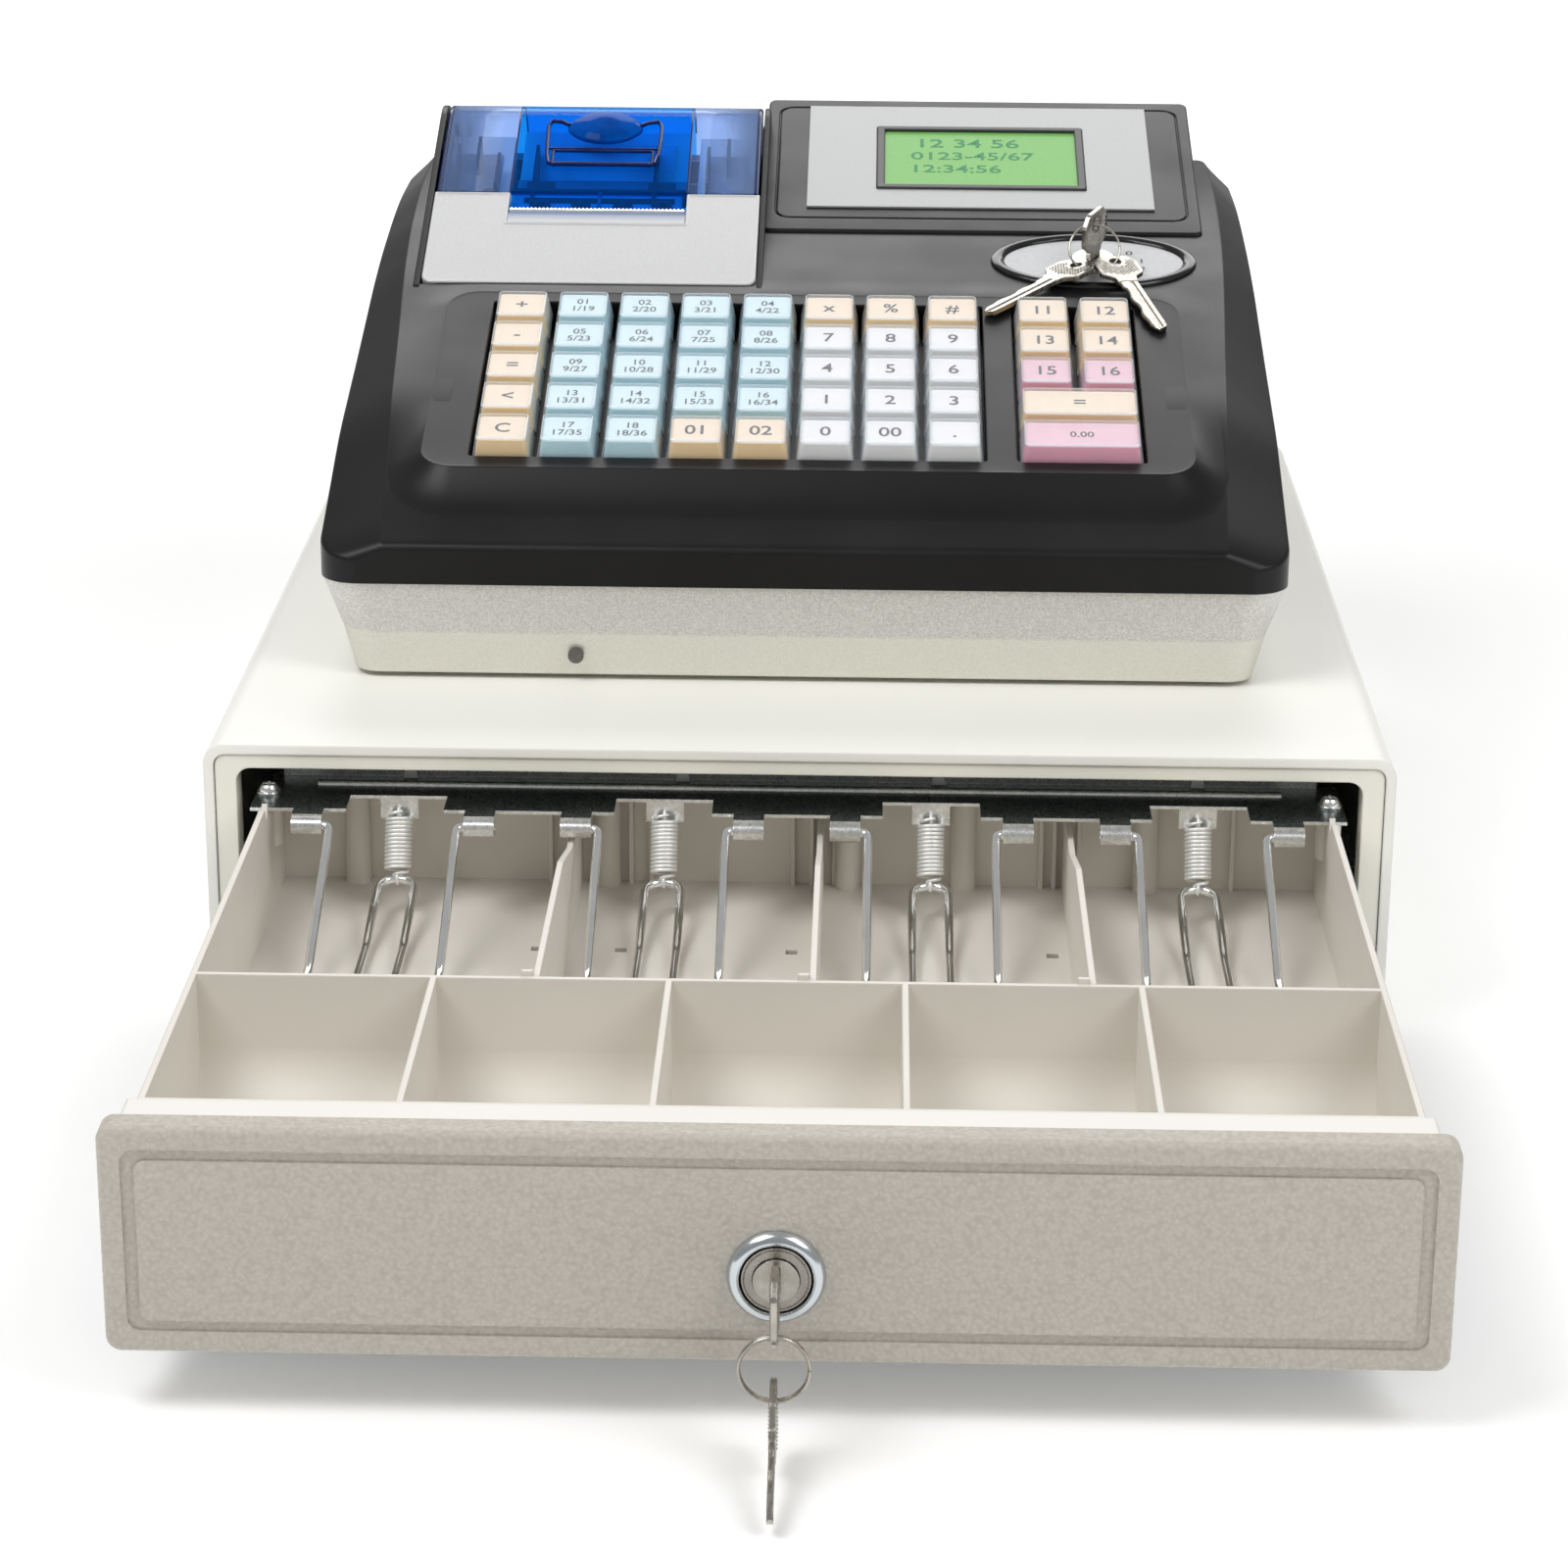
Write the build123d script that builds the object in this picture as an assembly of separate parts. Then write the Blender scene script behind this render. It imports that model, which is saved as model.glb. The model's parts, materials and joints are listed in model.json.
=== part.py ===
from build123d import *
import os
from math import cos, radians, sin

# Countertop cash register on its cash drawer. Millimetres, +Z up, +Y towards the back.
# The origin is the centre of the drawer housing's footprint, on the counter.
# The drawer is drawn pulled open, which is the rest position of every joint.

# ---- drawer housing ----
HOUSING_W = 405.0
HOUSING_D = 420.0
HOUSING_H = 100.0
FOOT_H = 4.0
STEEL = 1.2
HOUSING_R = 7.0
FRAME_INSET = 3.5
OPENING_HALF_W = 191.5
OPENING_LOW = 16.5
OPENING_HIGH = 91.6
FRONT_Y = -HOUSING_D / 2
BACK_Y = HOUSING_D / 2

# ---- drawer, open by DRAWER_TRAVEL ----
DRAWER_TRAVEL = 288.0
PANEL_Y = FRONT_Y - DRAWER_TRAVEL
PANEL_T = 9.0
PANEL_HALF_W = 188.0
PANEL_LOW = 18.5
PANEL_HIGH = 87.5
BACKING_T = 16.0
CARRIER_HALF_W = 182.5
CARRIER_LOW = 22.0
CARRIER_FRONT_Y = PANEL_Y + PANEL_T + BACKING_T
CARRIER_BACK_Y = -183.5
TRAY_HALF_W = 180.8
TRAY_WALL = 2.0
TRAY_TOP = 84.0
TRAY_FLOOR = 44.0
TRAY_FRONT_Y = CARRIER_FRONT_Y + STEEL + 0.3
TRAY_BACK_Y = -185.0
COIN_WALL_Y = -377.0
COIN_DIVIDERS_X = (-107.0, -35.7, 35.7, 107.0)
BILL_DIVIDERS_X = (-76.0, 7.8, 92.4)

# ---- bill clips ----
CLIP_CENTRES_X = (-136.0, -45.3, 45.3, 136.0)
CLIP_AXIS_Y = -229.0
CLIP_AXIS_Z = 78.3
WIRE_R = 1.5
CLIP_ARM_DX = 21.4
CLIP_LEG_DX = 6.2
BAR_TOP = 82.2
SPRING_TAB_Y = -208.0

# ---- latch at the back ----
HOOK_PIVOT_YZ = (182.0, 58.0)
HOOK_PIVOT_R = 3.0
HOOK_LIFT = 12.0

# ---- drawer lock ----
LOCK_Z = 45.5
LOCK_BARREL_R = 9.5
LOCK_PLUG_R = 6.5
RUNNING_FIT = 0.05
KEY_T = 2.0
KEY_SEAT_Y = PANEL_Y - 5.6
RING_HOLE = (17.5, 6.3)
RING_SLACK = 0.9
RING_R = 9.75
RING_WIRE_R = 0.75

# ---- register body ----
REGISTER_LOW = 102.0
JOINT_Z = 136.5
REGISTER_FRONT_Y = -138.2
REGISTER_BACK_Y = 196.0
REGISTER_HALF_W = 171.5
WALL = 2.5
BASE_SCREW_Z = 110.0
BASE_SCREWS = ((-80.5, -134.8), (-145.0, 191.8), (145.0, 191.8))
PORTS_X = (20.0, 120.0)
# y, half-width of the flat deck, deck height, height of the outer edge
DECK_STATIONS = (
    (-139.4, 148.0, 149.0, 145.0),
    (-136.0, 149.0, 152.0, 148.5),
    (-99.0, 150.3, 169.0, 160.5),
    (-67.0, 152.2, 182.5, 172.5),
    (-38.0, 153.8, 190.5, 180.0),
    (-9.0, 155.4, 197.6, 187.2),
    (21.0, 157.2, 205.3, 195.0),
    (52.0, 158.8, 212.5, 203.0),
    (90.0, 160.2, 219.5, 210.0),
    (141.0, 161.2, 225.0, 216.0),
    (REGISTER_BACK_Y, 161.5, 226.0, 216.8),
)

# ---- keyboard: a plane tilted back, w is measured along its normal from the key tops ----
KEY_TILT = 15.5
KEY_CENTRE = (-28.1, -46.5, 194.6)
KEY_PITCH = 23.25
KEY_TRAVEL = 3.5
KEY_COLUMNS_X = tuple(KEY_CENTRE[0] + (i - 3.5) * KEY_PITCH for i in range(8)) + (87.3, 110.55)
CAP_BOTTOM = 21.8
CAP_TOP = 17.6
CAP_H = 10.5
PLATEAU_W = -6.0
FRAME_W = -14.6
BOARD_W = -21.0
WELL_MARGIN = 11.8

# ---- display pod ----
POD_TILT = 15.5
POD_FRONT = (79.0, 218.9)
POD_X = (-21.0, 153.0)
POD_BACK_Y = 193.0

# ---- printer ----
PRINTER_TILT = 21.0
PRINTER_FRONT = (28.5, 208.0)
PRINTER_X = (-151.0, -22.0)
PANEL_LEN = 64.0
TEAR_X = (-121.0, -51.0)
COVER_T = 2.0
COVER_BEND = 122.0
COVER_R = 26.0
HINGE_YZ = (172.0, 229.0)
ROLL_YZ = (140.0, 220.0)
PLATEN_YZ = (93.5, 223.5)

# ---- mode lock on the deck ----
MODE_XY = (108.5, 51.0)
MODE_TILT = 13.0
MODE_Z = 212.3
MODE_KEY_TURN = -30.0
MODE_KEY_SEAT = 3.3
MODE_BOW = 0.85
MODE_RING_LEAN = 45.0


def block(x0, x1, y0, y1, z0, z1):
    """Box between two corners."""
    return Pos((x0 + x1) / 2, (y0 + y1) / 2, (z0 + z1) / 2) * Box(x1 - x0, y1 - y0, z1 - z0)


def along_x(points, x0, x1):
    """Prism of a Y-Z outline."""
    face = Plane.YZ * make_face(Polyline(*points, close=True))
    return Pos(x0, 0, 0) * extrude(face, x1 - x0)


def rounded_along_y(x0, x1, z0, z1, radius, y0, y1):
    """Rounded rectangle in the X-Z plane, drawn out along Y."""
    sketch = Pos((x0 + x1) / 2, (z0 + z1) / 2) * RectangleRounded(x1 - x0, z1 - z0, radius)
    return Pos(0, y1, 0) * (Rot(90, 0, 0) * extrude(sketch, y1 - y0))


def cylinder_along_x(x0, x1, y, z, radius):
    return Pos((x0 + x1) / 2, y, z) * Rot(0, 90, 0) * Cylinder(radius, x1 - x0)


def cylinder_along_y(x, y0, y1, z, radius):
    return Pos(x, (y0 + y1) / 2, z) * Rot(90, 0, 0) * Cylinder(radius, y1 - y0)


def post(x, y, z0, z1, radius):
    return Pos(x, y, (z0 + z1) / 2) * Cylinder(radius, z1 - z0)


def mirrored(shape):
    """The shape and its copy on the other side of the X = 0 plane."""
    return [shape, mirror(shape, about=Plane.YZ)]


def save(name, *shapes):
    """Write one node as separate closed solids."""
    solids = []
    for shape in shapes:
        solids.extend(shape.solids())
    export_step(Compound(children=solids) if len(solids) > 1 else solids[0], f"parts/{name}.step")


# ------------------------------------------------------------------ housing

def housing_shell():
    half = HOUSING_W / 2
    outer = rounded_along_y(-half, half, FOOT_H, HOUSING_H, HOUSING_R, FRONT_Y, BACK_Y)
    inner = rounded_along_y(-half + STEEL, half - STEEL, FOOT_H + STEEL, HOUSING_H - STEEL,
                            HOUSING_R - STEEL, FRONT_Y + STEEL, BACK_Y - STEEL)
    mouth = rounded_along_y(-half + FRAME_INSET, half - FRAME_INSET, FOOT_H + FRAME_INSET,
                            HOUSING_H - FRAME_INSET, 4.0, FRONT_Y - 1, FRONT_Y + 3)
    underside = block(-190, 190, -200, 200, 0, FOOT_H + STEEL + 0.01)
    return outer - inner - mouth - underside


def base_plate():
    plate = block(-195, 195, -205, 205, FOOT_H + STEEL, FOOT_H + 2 * STEEL)
    ribs = [block(-150, 150, y - 4, y + 4, FOOT_H + 2 * STEEL, FOOT_H + 2 * STEEL + 2.5) for y in (-120, 0, 120)]
    return plate + ribs


def front_frame():
    half = HOUSING_W / 2 - FRAME_INSET - 0.3
    outer = rounded_along_y(-half, half, FOOT_H + FRAME_INSET + 0.3, HOUSING_H - FRAME_INSET - 0.3,
                            3.7, FRONT_Y + 0.6, FRONT_Y + 12)
    opening = rounded_along_y(-OPENING_HALF_W, OPENING_HALF_W, OPENING_LOW, OPENING_HIGH, 5.0,
                              FRONT_Y - 1, FRONT_Y + 13)
    return outer - opening


def housing_feet():
    feet = []
    for x in (-176, 176):
        for y in (-180, 180):
            feet.append(post(x, y, 0, FOOT_H + STEEL, 9.0))
    return feet


def outer_rail():
    """C-shaped runner on the housing's right wall, open towards the drawer."""
    y0, y1 = -197.0, 150.0
    web = block(192.5, 194.0, y0, y1, 34, 52)
    flanges = [block(186.5, 194.0, y0, y1, z, z + 1.5) for z in (34.0, 50.5)]
    brackets = [block(194.0, HOUSING_W / 2 - STEEL, y, y + 24, 37, 49) for y in (-190, -30, 120)]
    return web + flanges + brackets


def latch_solenoid():
    """Coil, plunger and bracket that let the drawer go, on the base plate behind the drawer."""
    floor = FOOT_H + 2 * STEEL
    bracket = block(-32, 32, 160, 204, floor, floor + 2) + block(-32, -29, 160, 204, floor, 66)
    bracket += block(29, 32, 160, 204, floor, 66)
    bracket -= cylinder_along_x(-33, 33, *HOOK_PIVOT_YZ, HOOK_PIVOT_R + RUNNING_FIT)
    coil = cylinder_along_x(-20, 12, 182, 24, 11.0)
    yoke = block(-24, 16, 169, 195, floor + 2, 14)
    plunger = cylinder_along_x(12, 24, 182, 24, 4.0)
    return [bracket, yoke + coil + plunger]


def latch_hook():
    """Pivoted hook over the solenoid, drawn lifted clear of the drawer's catch."""
    y, z = HOOK_PIVOT_YZ
    pivot = cylinder_along_x(-31.5, 31.5, y, z, HOOK_PIVOT_R)
    boss = cylinder_along_x(-9, 9, y, z, 7.0)
    latched = [(182, 65), (182, 51), (150, 54), (121, 54), (119, 48.8), (113, 48.8), (113, 62), (150, 64)]
    arm = along_x(latched, -5, 5)
    lifted = Pos(0, y, z) * Rot(-HOOK_LIFT, 0, 0) * Pos(0, -y, -z)
    return lifted * (pivot + boss + arm)


def ejector_spring():
    """Compression spring on its seat, as wide rings, at the length it has with the drawer shut."""
    seat = block(-112, -88, BACK_Y - STEEL - 3, BACK_Y - STEEL, 28, 52)
    body = cylinder_along_y(-100, 140, BACK_Y - STEEL - 3, 40, 8.0)
    core = cylinder_along_y(-100, 141, BACK_Y - STEEL - 4, 40, 6.4)
    return [seat, body - core]


# ------------------------------------------------------------------ drawer

def drawer_carrier():
    half = CARRIER_HALF_W
    y0, y1 = CARRIER_FRONT_Y, CARRIER_BACK_Y
    pan = block(-half, half, y0, y1, CARRIER_LOW, 62)
    pan -= block(-half + STEEL, half - STEEL, y0 + STEEL, y1 - STEEL, CARRIER_LOW + STEEL, 63)
    front = block(-half, half, y0, y0 + STEEL, 62, 80)
    back = block(-half, half, y1 - STEEL, y1, 62, 76)
    catch = block(-8, 8, y1, y1 + 24, 46, 47.5) + block(-8, 8, y1 + 18, y1 + 24, 47.5, 51)
    return pan + front + back + catch


def inner_rail():
    """Runner bar on the drawer's right side."""
    y0, y1 = CARRIER_FRONT_Y + 8, -160.0
    plate = block(CARRIER_HALF_W, CARRIER_HALF_W + 1.5, y0, y1, 30, 56)
    bead = block(CARRIER_HALF_W + 1.5, 190.3, y0, y1, 38, 48)
    groove = block(187.5, 191, y0 - 1, y1 + 1, 41, 45)
    return plate + bead - groove


def drawer_tray():
    half = TRAY_HALF_W
    inner = half - TRAY_WALL
    low = CARRIER_LOW + STEEL
    tray = block(-half, half, TRAY_FRONT_Y, TRAY_BACK_Y, low, TRAY_TOP)
    tray -= block(-inner, inner, TRAY_FRONT_Y + TRAY_WALL, TRAY_BACK_Y - TRAY_WALL, low - 1, TRAY_FLOOR - 2)
    bill_y = (COIN_WALL_Y + TRAY_WALL, TRAY_BACK_Y - TRAY_WALL)
    tray -= block(-inner, inner, bill_y[0], bill_y[1], TRAY_FLOOR, TRAY_TOP + 1)
    edges = (-inner - 1,) + COIN_DIVIDERS_X + (inner + 1,)
    scoop_r = 16.0
    y0, y1 = TRAY_FRONT_Y + TRAY_WALL, COIN_WALL_Y
    scoop = Plane.YZ * (Pos((y0 + y1) / 2, TRAY_FLOOR + 40) * RectangleRounded(y1 - y0, 80, scoop_r))
    for left, right in zip(edges[:-1], edges[1:]):
        tray -= Pos(left + 1, 0, 0) * extrude(scoop, right - left - 2)
    back = bill_y[1]
    for x in (-86, -80, -58, -51, -2, 4.5, 12.5, 84, 88.5, 97, 150):
        tray += block(x - 0.8, x + 0.8, back - 3, back, TRAY_FLOOR, 79)
    for x, top in ((-153, 80.5), (-66, 80.5), (17, 62), (57, 80.5), (120, 80.5)):
        tray += post(x, back - 3, TRAY_FLOOR, top, 4.3)
    side_low = block(inner - 1, half + 1, -224, TRAY_BACK_Y + 1, BAR_TOP - STEEL, TRAY_TOP + 1)
    notch = along_x([(-231, TRAY_TOP + 1), (-227.5, TRAY_TOP - 5), (-223.9, TRAY_TOP + 1)], inner - 1, half + 1)
    boss = post(180.6, -208, 64, BAR_TOP - STEEL, 4.2)
    for cut in mirrored(side_low + notch):
        tray -= cut
    tray -= block(-inner, inner, TRAY_BACK_Y - TRAY_WALL - 1, TRAY_BACK_Y + 1, BAR_TOP - STEEL, TRAY_TOP + 1)
    for piece in mirrored(boss):
        tray += piece
    for x in (-86, -58, -1, 86):
        tray -= block(x - 1.9, x + 1.9, -254, -250, TRAY_FLOOR - 3, TRAY_FLOOR + 1)
    return tray


def bill_dividers():
    """Loose plates between the bill compartments, lower where they pass under the clip bar."""
    y0, y1 = COIN_WALL_Y + TRAY_WALL + 0.1, TRAY_BACK_Y - TRAY_WALL - 0.1
    outline = [(y0, TRAY_FLOOR), (y1, TRAY_FLOOR), (y1, 74), (-236, 74), (-276, TRAY_TOP), (y0, TRAY_TOP)]
    plates = []
    for x in BILL_DIVIDERS_X:
        plate = along_x(outline, x - 1, x + 1)
        plate += block(x - 4.5, x - 1, y0, y0 + 2, TRAY_FLOOR, TRAY_TOP + 1.5)
        plates.append(plate)
    return plates


def clip_bar():
    """Zinc-plated bar with a hinge barrel pair and a spring tab for each clip."""
    low = BAR_TOP - STEEL
    bar = block(-185, 185, -223, -188, low, BAR_TOP)
    bar += block(-178, 178, -189.2, -188, BAR_TOP, BAR_TOP + 3)
    rib = Pos(0, -198, BAR_TOP) * Rot(0, 90, 0) * Cylinder(1.6, 330)
    bar += rib & block(-180, 180, -210, -190, BAR_TOP - 0.4, BAR_TOP + 3)
    for centre in CLIP_CENTRES_X:
        bar -= block(centre - 16.5, centre + 16.5, -230, SPRING_TAB_Y - STEEL, low - 1, BAR_TOP + 1)
        bar += block(centre - 6.5, centre + 6.5, SPRING_TAB_Y - STEEL, SPRING_TAB_Y, 74, BAR_TOP)
        for side in (-1, 1):
            near = centre + side * 23.9
            far = centre + side * 34.2
            x0, x1 = min(near, far), max(near, far)
            bar += block(x0, x1, CLIP_AXIS_Y, -222, low, BAR_TOP)
            bar += cylinder_along_x(x0, x1, CLIP_AXIS_Y, CLIP_AXIS_Z, 3.0)
            bar -= cylinder_along_x(x0 - 0.5, x1 + 0.5, CLIP_AXIS_Y, CLIP_AXIS_Z, WIRE_R + RUNNING_FIT)
    for x in (-180.6, 180.6):
        bar -= post(x, -208, low - 1, BAR_TOP + 1, 1.6)
    return bar


def clip_bar_screws():
    screws = []
    for x in (-180.6, 180.6):
        washer = post(x, -208, BAR_TOP, BAR_TOP + 1, 4.0)
        head = Pos(x, -208, BAR_TOP + 1) * Sphere(3.4) & block(x - 4, x + 4, -212, -204, BAR_TOP + 1, BAR_TOP + 3.4)
        slot = Pos(x, -208, BAR_TOP + 4) * (Box(4, 0.8, 2.6) + Box(0.8, 4, 2.6))
        screws.append(washer + head - slot)
    return screws


def bill_clip(centre):
    """One bent wire: two hinge stubs, two arms down to the tray floor, and a raised inner loop."""
    half = [
        (-33.2, CLIP_AXIS_Y, CLIP_AXIS_Z),
        (-CLIP_ARM_DX, CLIP_AXIS_Y, CLIP_AXIS_Z),
        (-CLIP_ARM_DX, -290, 50.5),
        (-CLIP_ARM_DX, -362, 46.2),
        (-CLIP_LEG_DX, -362, 46.2),
        (-CLIP_LEG_DX, -262, 47.0),
        (-CLIP_LEG_DX, -220, 56.0),
    ]
    points = half + [(-x, y, z) for x, y, z in reversed(half)]
    radii = [2.2, 30, 7.2, 7.2, 30, 5.8]
    path = FilletPolyline(*[(centre + x, y, z) for x, y, z in points], radius=radii + radii[::-1])
    start = Plane(origin=path @ 0, z_dir=path % 0)
    return sweep(start * Circle(WIRE_R), path=path)


def clip_spring(centre):
    """Tension spring from the bar's tab to the clip's loop, as a tube with its two end stems."""
    top = Vector(centre, SPRING_TAB_Y - STEEL - 4.6, 76.5)
    loop = Vector(centre, -220, 56)
    axis = (loop - top).normalized()
    start = Plane(origin=top, z_dir=axis)
    length = (loop - top).length
    coil = start * (Pos(0, 0, length / 2 - 0.6) * (Cylinder(4.4, length - 6) - Cylinder(3.5, length - 8)))
    tip = start * (Pos(0, 0, length - 3.0) * Cylinder(0.8, 1.6))
    hook = Pos(centre, SPRING_TAB_Y - STEEL - 2.6, 76.6) * Rot(90, 0, 0) * Cylinder(0.8, 5.2)
    return coil + tip + hook


def front_backing():
    """Smooth moulding behind the drawer's front, with the lock's space inside."""
    y0 = PANEL_Y + PANEL_T
    y1 = CARRIER_FRONT_Y
    body = block(-183, 183, y0, y1, 20, 85.5)
    body -= block(-181, 181, y0 + 2, y1 + 1, 22, 83.3)
    body = fillet(body.edges().filter_by(Axis.X).group_by(Axis.Z)[-1].sort_by(Axis.Y)[-1], 1.2)
    return body - cylinder_along_y(0, y0 - 1, y0 + 4, LOCK_Z, LOCK_BARREL_R + 0.1)


def front_panel():
    y0 = PANEL_Y
    panel = rounded_along_y(-PANEL_HALF_W, PANEL_HALF_W, PANEL_LOW, PANEL_HIGH, 4.5, y0, y0 + PANEL_T)
    panel = fillet(panel.faces().sort_by(Axis.Y)[0].edges(), 2.0)
    centre_z = (PANEL_LOW + PANEL_HIGH) / 2
    trough = rounded_along_y(-181.5, 181.5, centre_z - 27.8, centre_z + 27.8, 4.0, y0 - 1, y0 + 1.0)
    field = rounded_along_y(-177.6, 177.6, centre_z - 24.4, centre_z + 24.4, 3.0, y0 - 1, y0 + 2)
    panel -= trough - field
    return panel - cylinder_along_y(0, y0 - 1, y0 + PANEL_T + 1, LOCK_Z, LOCK_BARREL_R + 0.1)


def lock_barrel():
    y0 = PANEL_Y
    ring = Pos(0, y0, LOCK_Z) * Rot(90, 0, 0) * Cone(13.9, 10.8, 3.4, align=(Align.CENTER, Align.CENTER, Align.MIN))
    barrel = cylinder_along_y(0, y0 - 3.8, y0 + 20, LOCK_Z, LOCK_BARREL_R)
    nut = cylinder_along_y(0, y0 + 11, y0 + 15, LOCK_Z, 12.5)
    bore = cylinder_along_y(0, y0 - 5, y0 + 21, LOCK_Z, LOCK_PLUG_R + RUNNING_FIT)
    return ring + barrel + nut - bore


def lock_plug():
    """Turning core with its keyway, and the cam it carries inside the front."""
    y0 = PANEL_Y
    plug = cylinder_along_y(0, y0 - 3.6, y0 + 21, LOCK_Z, LOCK_PLUG_R)
    plug -= block(-KEY_T / 2 - 0.15, KEY_T / 2 + 0.15, y0 - 5, y0 + 16.5, LOCK_Z - 4.2, LOCK_Z + 4.2)
    cam = rounded_along_y(-4.5, 4.5, LOCK_Z - 4.5, LOCK_Z + 22, 4.0, y0 + 21, y0 + 23)
    return plug + cam


def key_shape(blade_len, hole, bow_scale=1.0):
    """Flat key in the X-Y plane, blade along +X from x = 0, bow on the -X side; hole is its (x, y)."""
    outline = [(0, -3.6), (0, -4.6), (-4, -5.2), (-8, -10.4), (-18, -10.4), (-23, -6.5)]
    outline += [(x, -y) for x, y in reversed(outline)]
    outline = [(x * bow_scale, y * bow_scale) for x, y in outline]
    bow = make_face(Polyline(*outline, close=True))
    bow = fillet(bow.vertices().sort_by(Axis.X)[:4], 3.0 * bow_scale)
    depths = (2.6, 3.3, 2.2, 3.0, 2.4)
    step = blade_len / (len(depths) + 1)
    cuts = [(0, -3.6), (step * 0.6, -3.6)]
    for index, depth in enumerate(depths):
        cuts.append((step * (index + 0.9), -depth))
        cuts.append((step * (index + 1.4), -depth))
    blade = make_face(Polyline(*cuts, (blade_len, 0), (blade_len - 2, 3.6), (0, 3.6), close=True))
    hole_cut = Pos(*hole) * Circle(2.4)
    return Pos(0, 0, -KEY_T / 2) * extrude(bow + blade - hole_cut, KEY_T)


def drawer_key():
    """Key in the lock, its bow upright; the hole is low so that the ring hangs under the lock."""
    key = key_shape(18.0, (-RING_HOLE[0], -RING_HOLE[1]))
    return Plane(origin=(0, KEY_SEAT_Y, LOCK_Z), x_dir=(0, 1, 0), z_dir=(1, 0, 0)) * key


def drawer_key_ring():
    top_z = LOCK_Z - RING_HOLE[1] - RING_SLACK
    return Pos(0, KEY_SEAT_Y - RING_HOLE[0], top_z - RING_R) * Rot(90, 0, 0) * Torus(RING_R, RING_WIRE_R)


def spare_drawer_key():
    """Second key on the ring, leaning on the counter in front of the drawer."""
    hole_z = LOCK_Z - RING_HOLE[1] - 2 * RING_SLACK - 2 * RING_R
    lean = radians(16.0)
    key = Pos(19.0, 0, 0) * key_shape(25.0, (-19.0, 0))
    plane = Plane(origin=(0, KEY_SEAT_Y - RING_HOLE[0], hole_z), x_dir=(0, -cos(lean), -sin(lean)), z_dir=(1, 0, 0))
    return plane * key


# ------------------------------------------------------------------ register body

def base_section(z, half_w, y0, y1, radius):
    return Pos(0, (y0 + y1) / 2, z) * RectangleRounded(2 * half_w, y1 - y0, radius)


def register_base():
    """Silver lower shell: a narrow bottom that flares to the joint, with a soft crease between."""
    levels = (
        (REGISTER_LOW, 160.5, -133.0, 190.0, 10.0),
        (118.0, 164.6, -136.6, 193.5, 13.0),
        (JOINT_Z, REGISTER_HALF_W, REGISTER_FRONT_Y, REGISTER_BACK_Y, 14.0),
    )
    outer = loft([base_section(*level) for level in levels], ruled=True)
    inner = [(z + (WALL if z == REGISTER_LOW else 0), w - WALL, y0 + WALL, y1 - WALL, r - WALL)
             for z, w, y0, y1, r in levels]
    shell = outer - loft([base_section(*level) for level in inner], ruled=True)
    for x, y in BASE_SCREWS:
        shell -= cylinder_along_y(x, y - 8, y + 8, BASE_SCREW_Z, 1.6)
    shell -= block(PORTS_X[0], PORTS_X[1], 180, 200, 104.8, 117)
    pads = [post(x, y, HOUSING_H, REGISTER_LOW, 8.0) for x in (-135, 135) for y in (-105, 165)]
    return [shell] + pads


def deck_section(y, flat, deck, edge, inset):
    """Cross-section of the black top, cut in at its upper corners; inset gives the hollow inside."""
    side = REGISTER_HALF_W - inset
    flat = flat - inset * 0.6
    top = deck - inset
    low = JOINT_Z - (1 if inset else 0)
    points = [(-side, low), (-side, edge - inset * 0.7), (-flat, top), (flat, top), (side, edge - inset * 0.7), (side, low)]
    wire = Polyline(*[(x, y, z) for x, z in points], close=True)
    return Face(Wire(wire.edges()))


def deck_solid(inset):
    stations = DECK_STATIONS
    if inset:
        stations = ((-136.9, 148.5, 151.2, 147.5),) + DECK_STATIONS[2:-1] + ((REGISTER_BACK_Y - inset, 161.5, 226.0, 216.8),)
    return loft([deck_section(*station, inset) for station in stations], ruled=True)


KEY_PLANE = Plane(origin=KEY_CENTRE, x_dir=(1, 0, 0), z_dir=(0, -sin(radians(KEY_TILT)), cos(radians(KEY_TILT))))


def on_keys(shape, w):
    """Place a shape that is drawn flat about the keyboard's centre, w above the key tops."""
    return KEY_PLANE * Pos(-KEY_CENTRE[0], 0, w) * shape


def well_rectangles(grow):
    """The two keyboard wells, drawn flat: x is the object's x, y runs up the slope."""
    v = 2 * KEY_PITCH + WELL_MARGIN + grow
    wells = []
    for first, last in ((0, 7), (8, 9)):
        x0 = KEY_COLUMNS_X[first] - WELL_MARGIN - grow
        x1 = KEY_COLUMNS_X[last] + WELL_MARGIN + grow
        wells.append(Pos((x0 + x1) / 2, 0) * Rectangle(x1 - x0, 2 * v))
    return wells


def plateau(grow, top, depth):
    """Raised field around the keys with a skirt that slopes to the deck."""
    sketch = Pos(0.5, 0) * RectangleRounded(2 * (139.0 - grow), 2 * (66.0 - grow), 12.0)
    return on_keys(extrude(Rot(180, 0, 0) * sketch, depth, taper=-38), top)


def slope_points(front, tilt, distance):
    return (front[0] + distance * cos(radians(tilt)), front[1] + distance * sin(radians(tilt)))


def pod_outline(inset):
    y0, z0 = POD_FRONT
    back = POD_BACK_Y - inset
    top_z = z0 + (back - y0) * sin(radians(POD_TILT)) / cos(radians(POD_TILT))
    return [(y0 + 2 * inset, z0 - 20), (y0 + 2 * inset, z0 - inset), (back, top_z - inset), (back, z0 - 20)]


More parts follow.
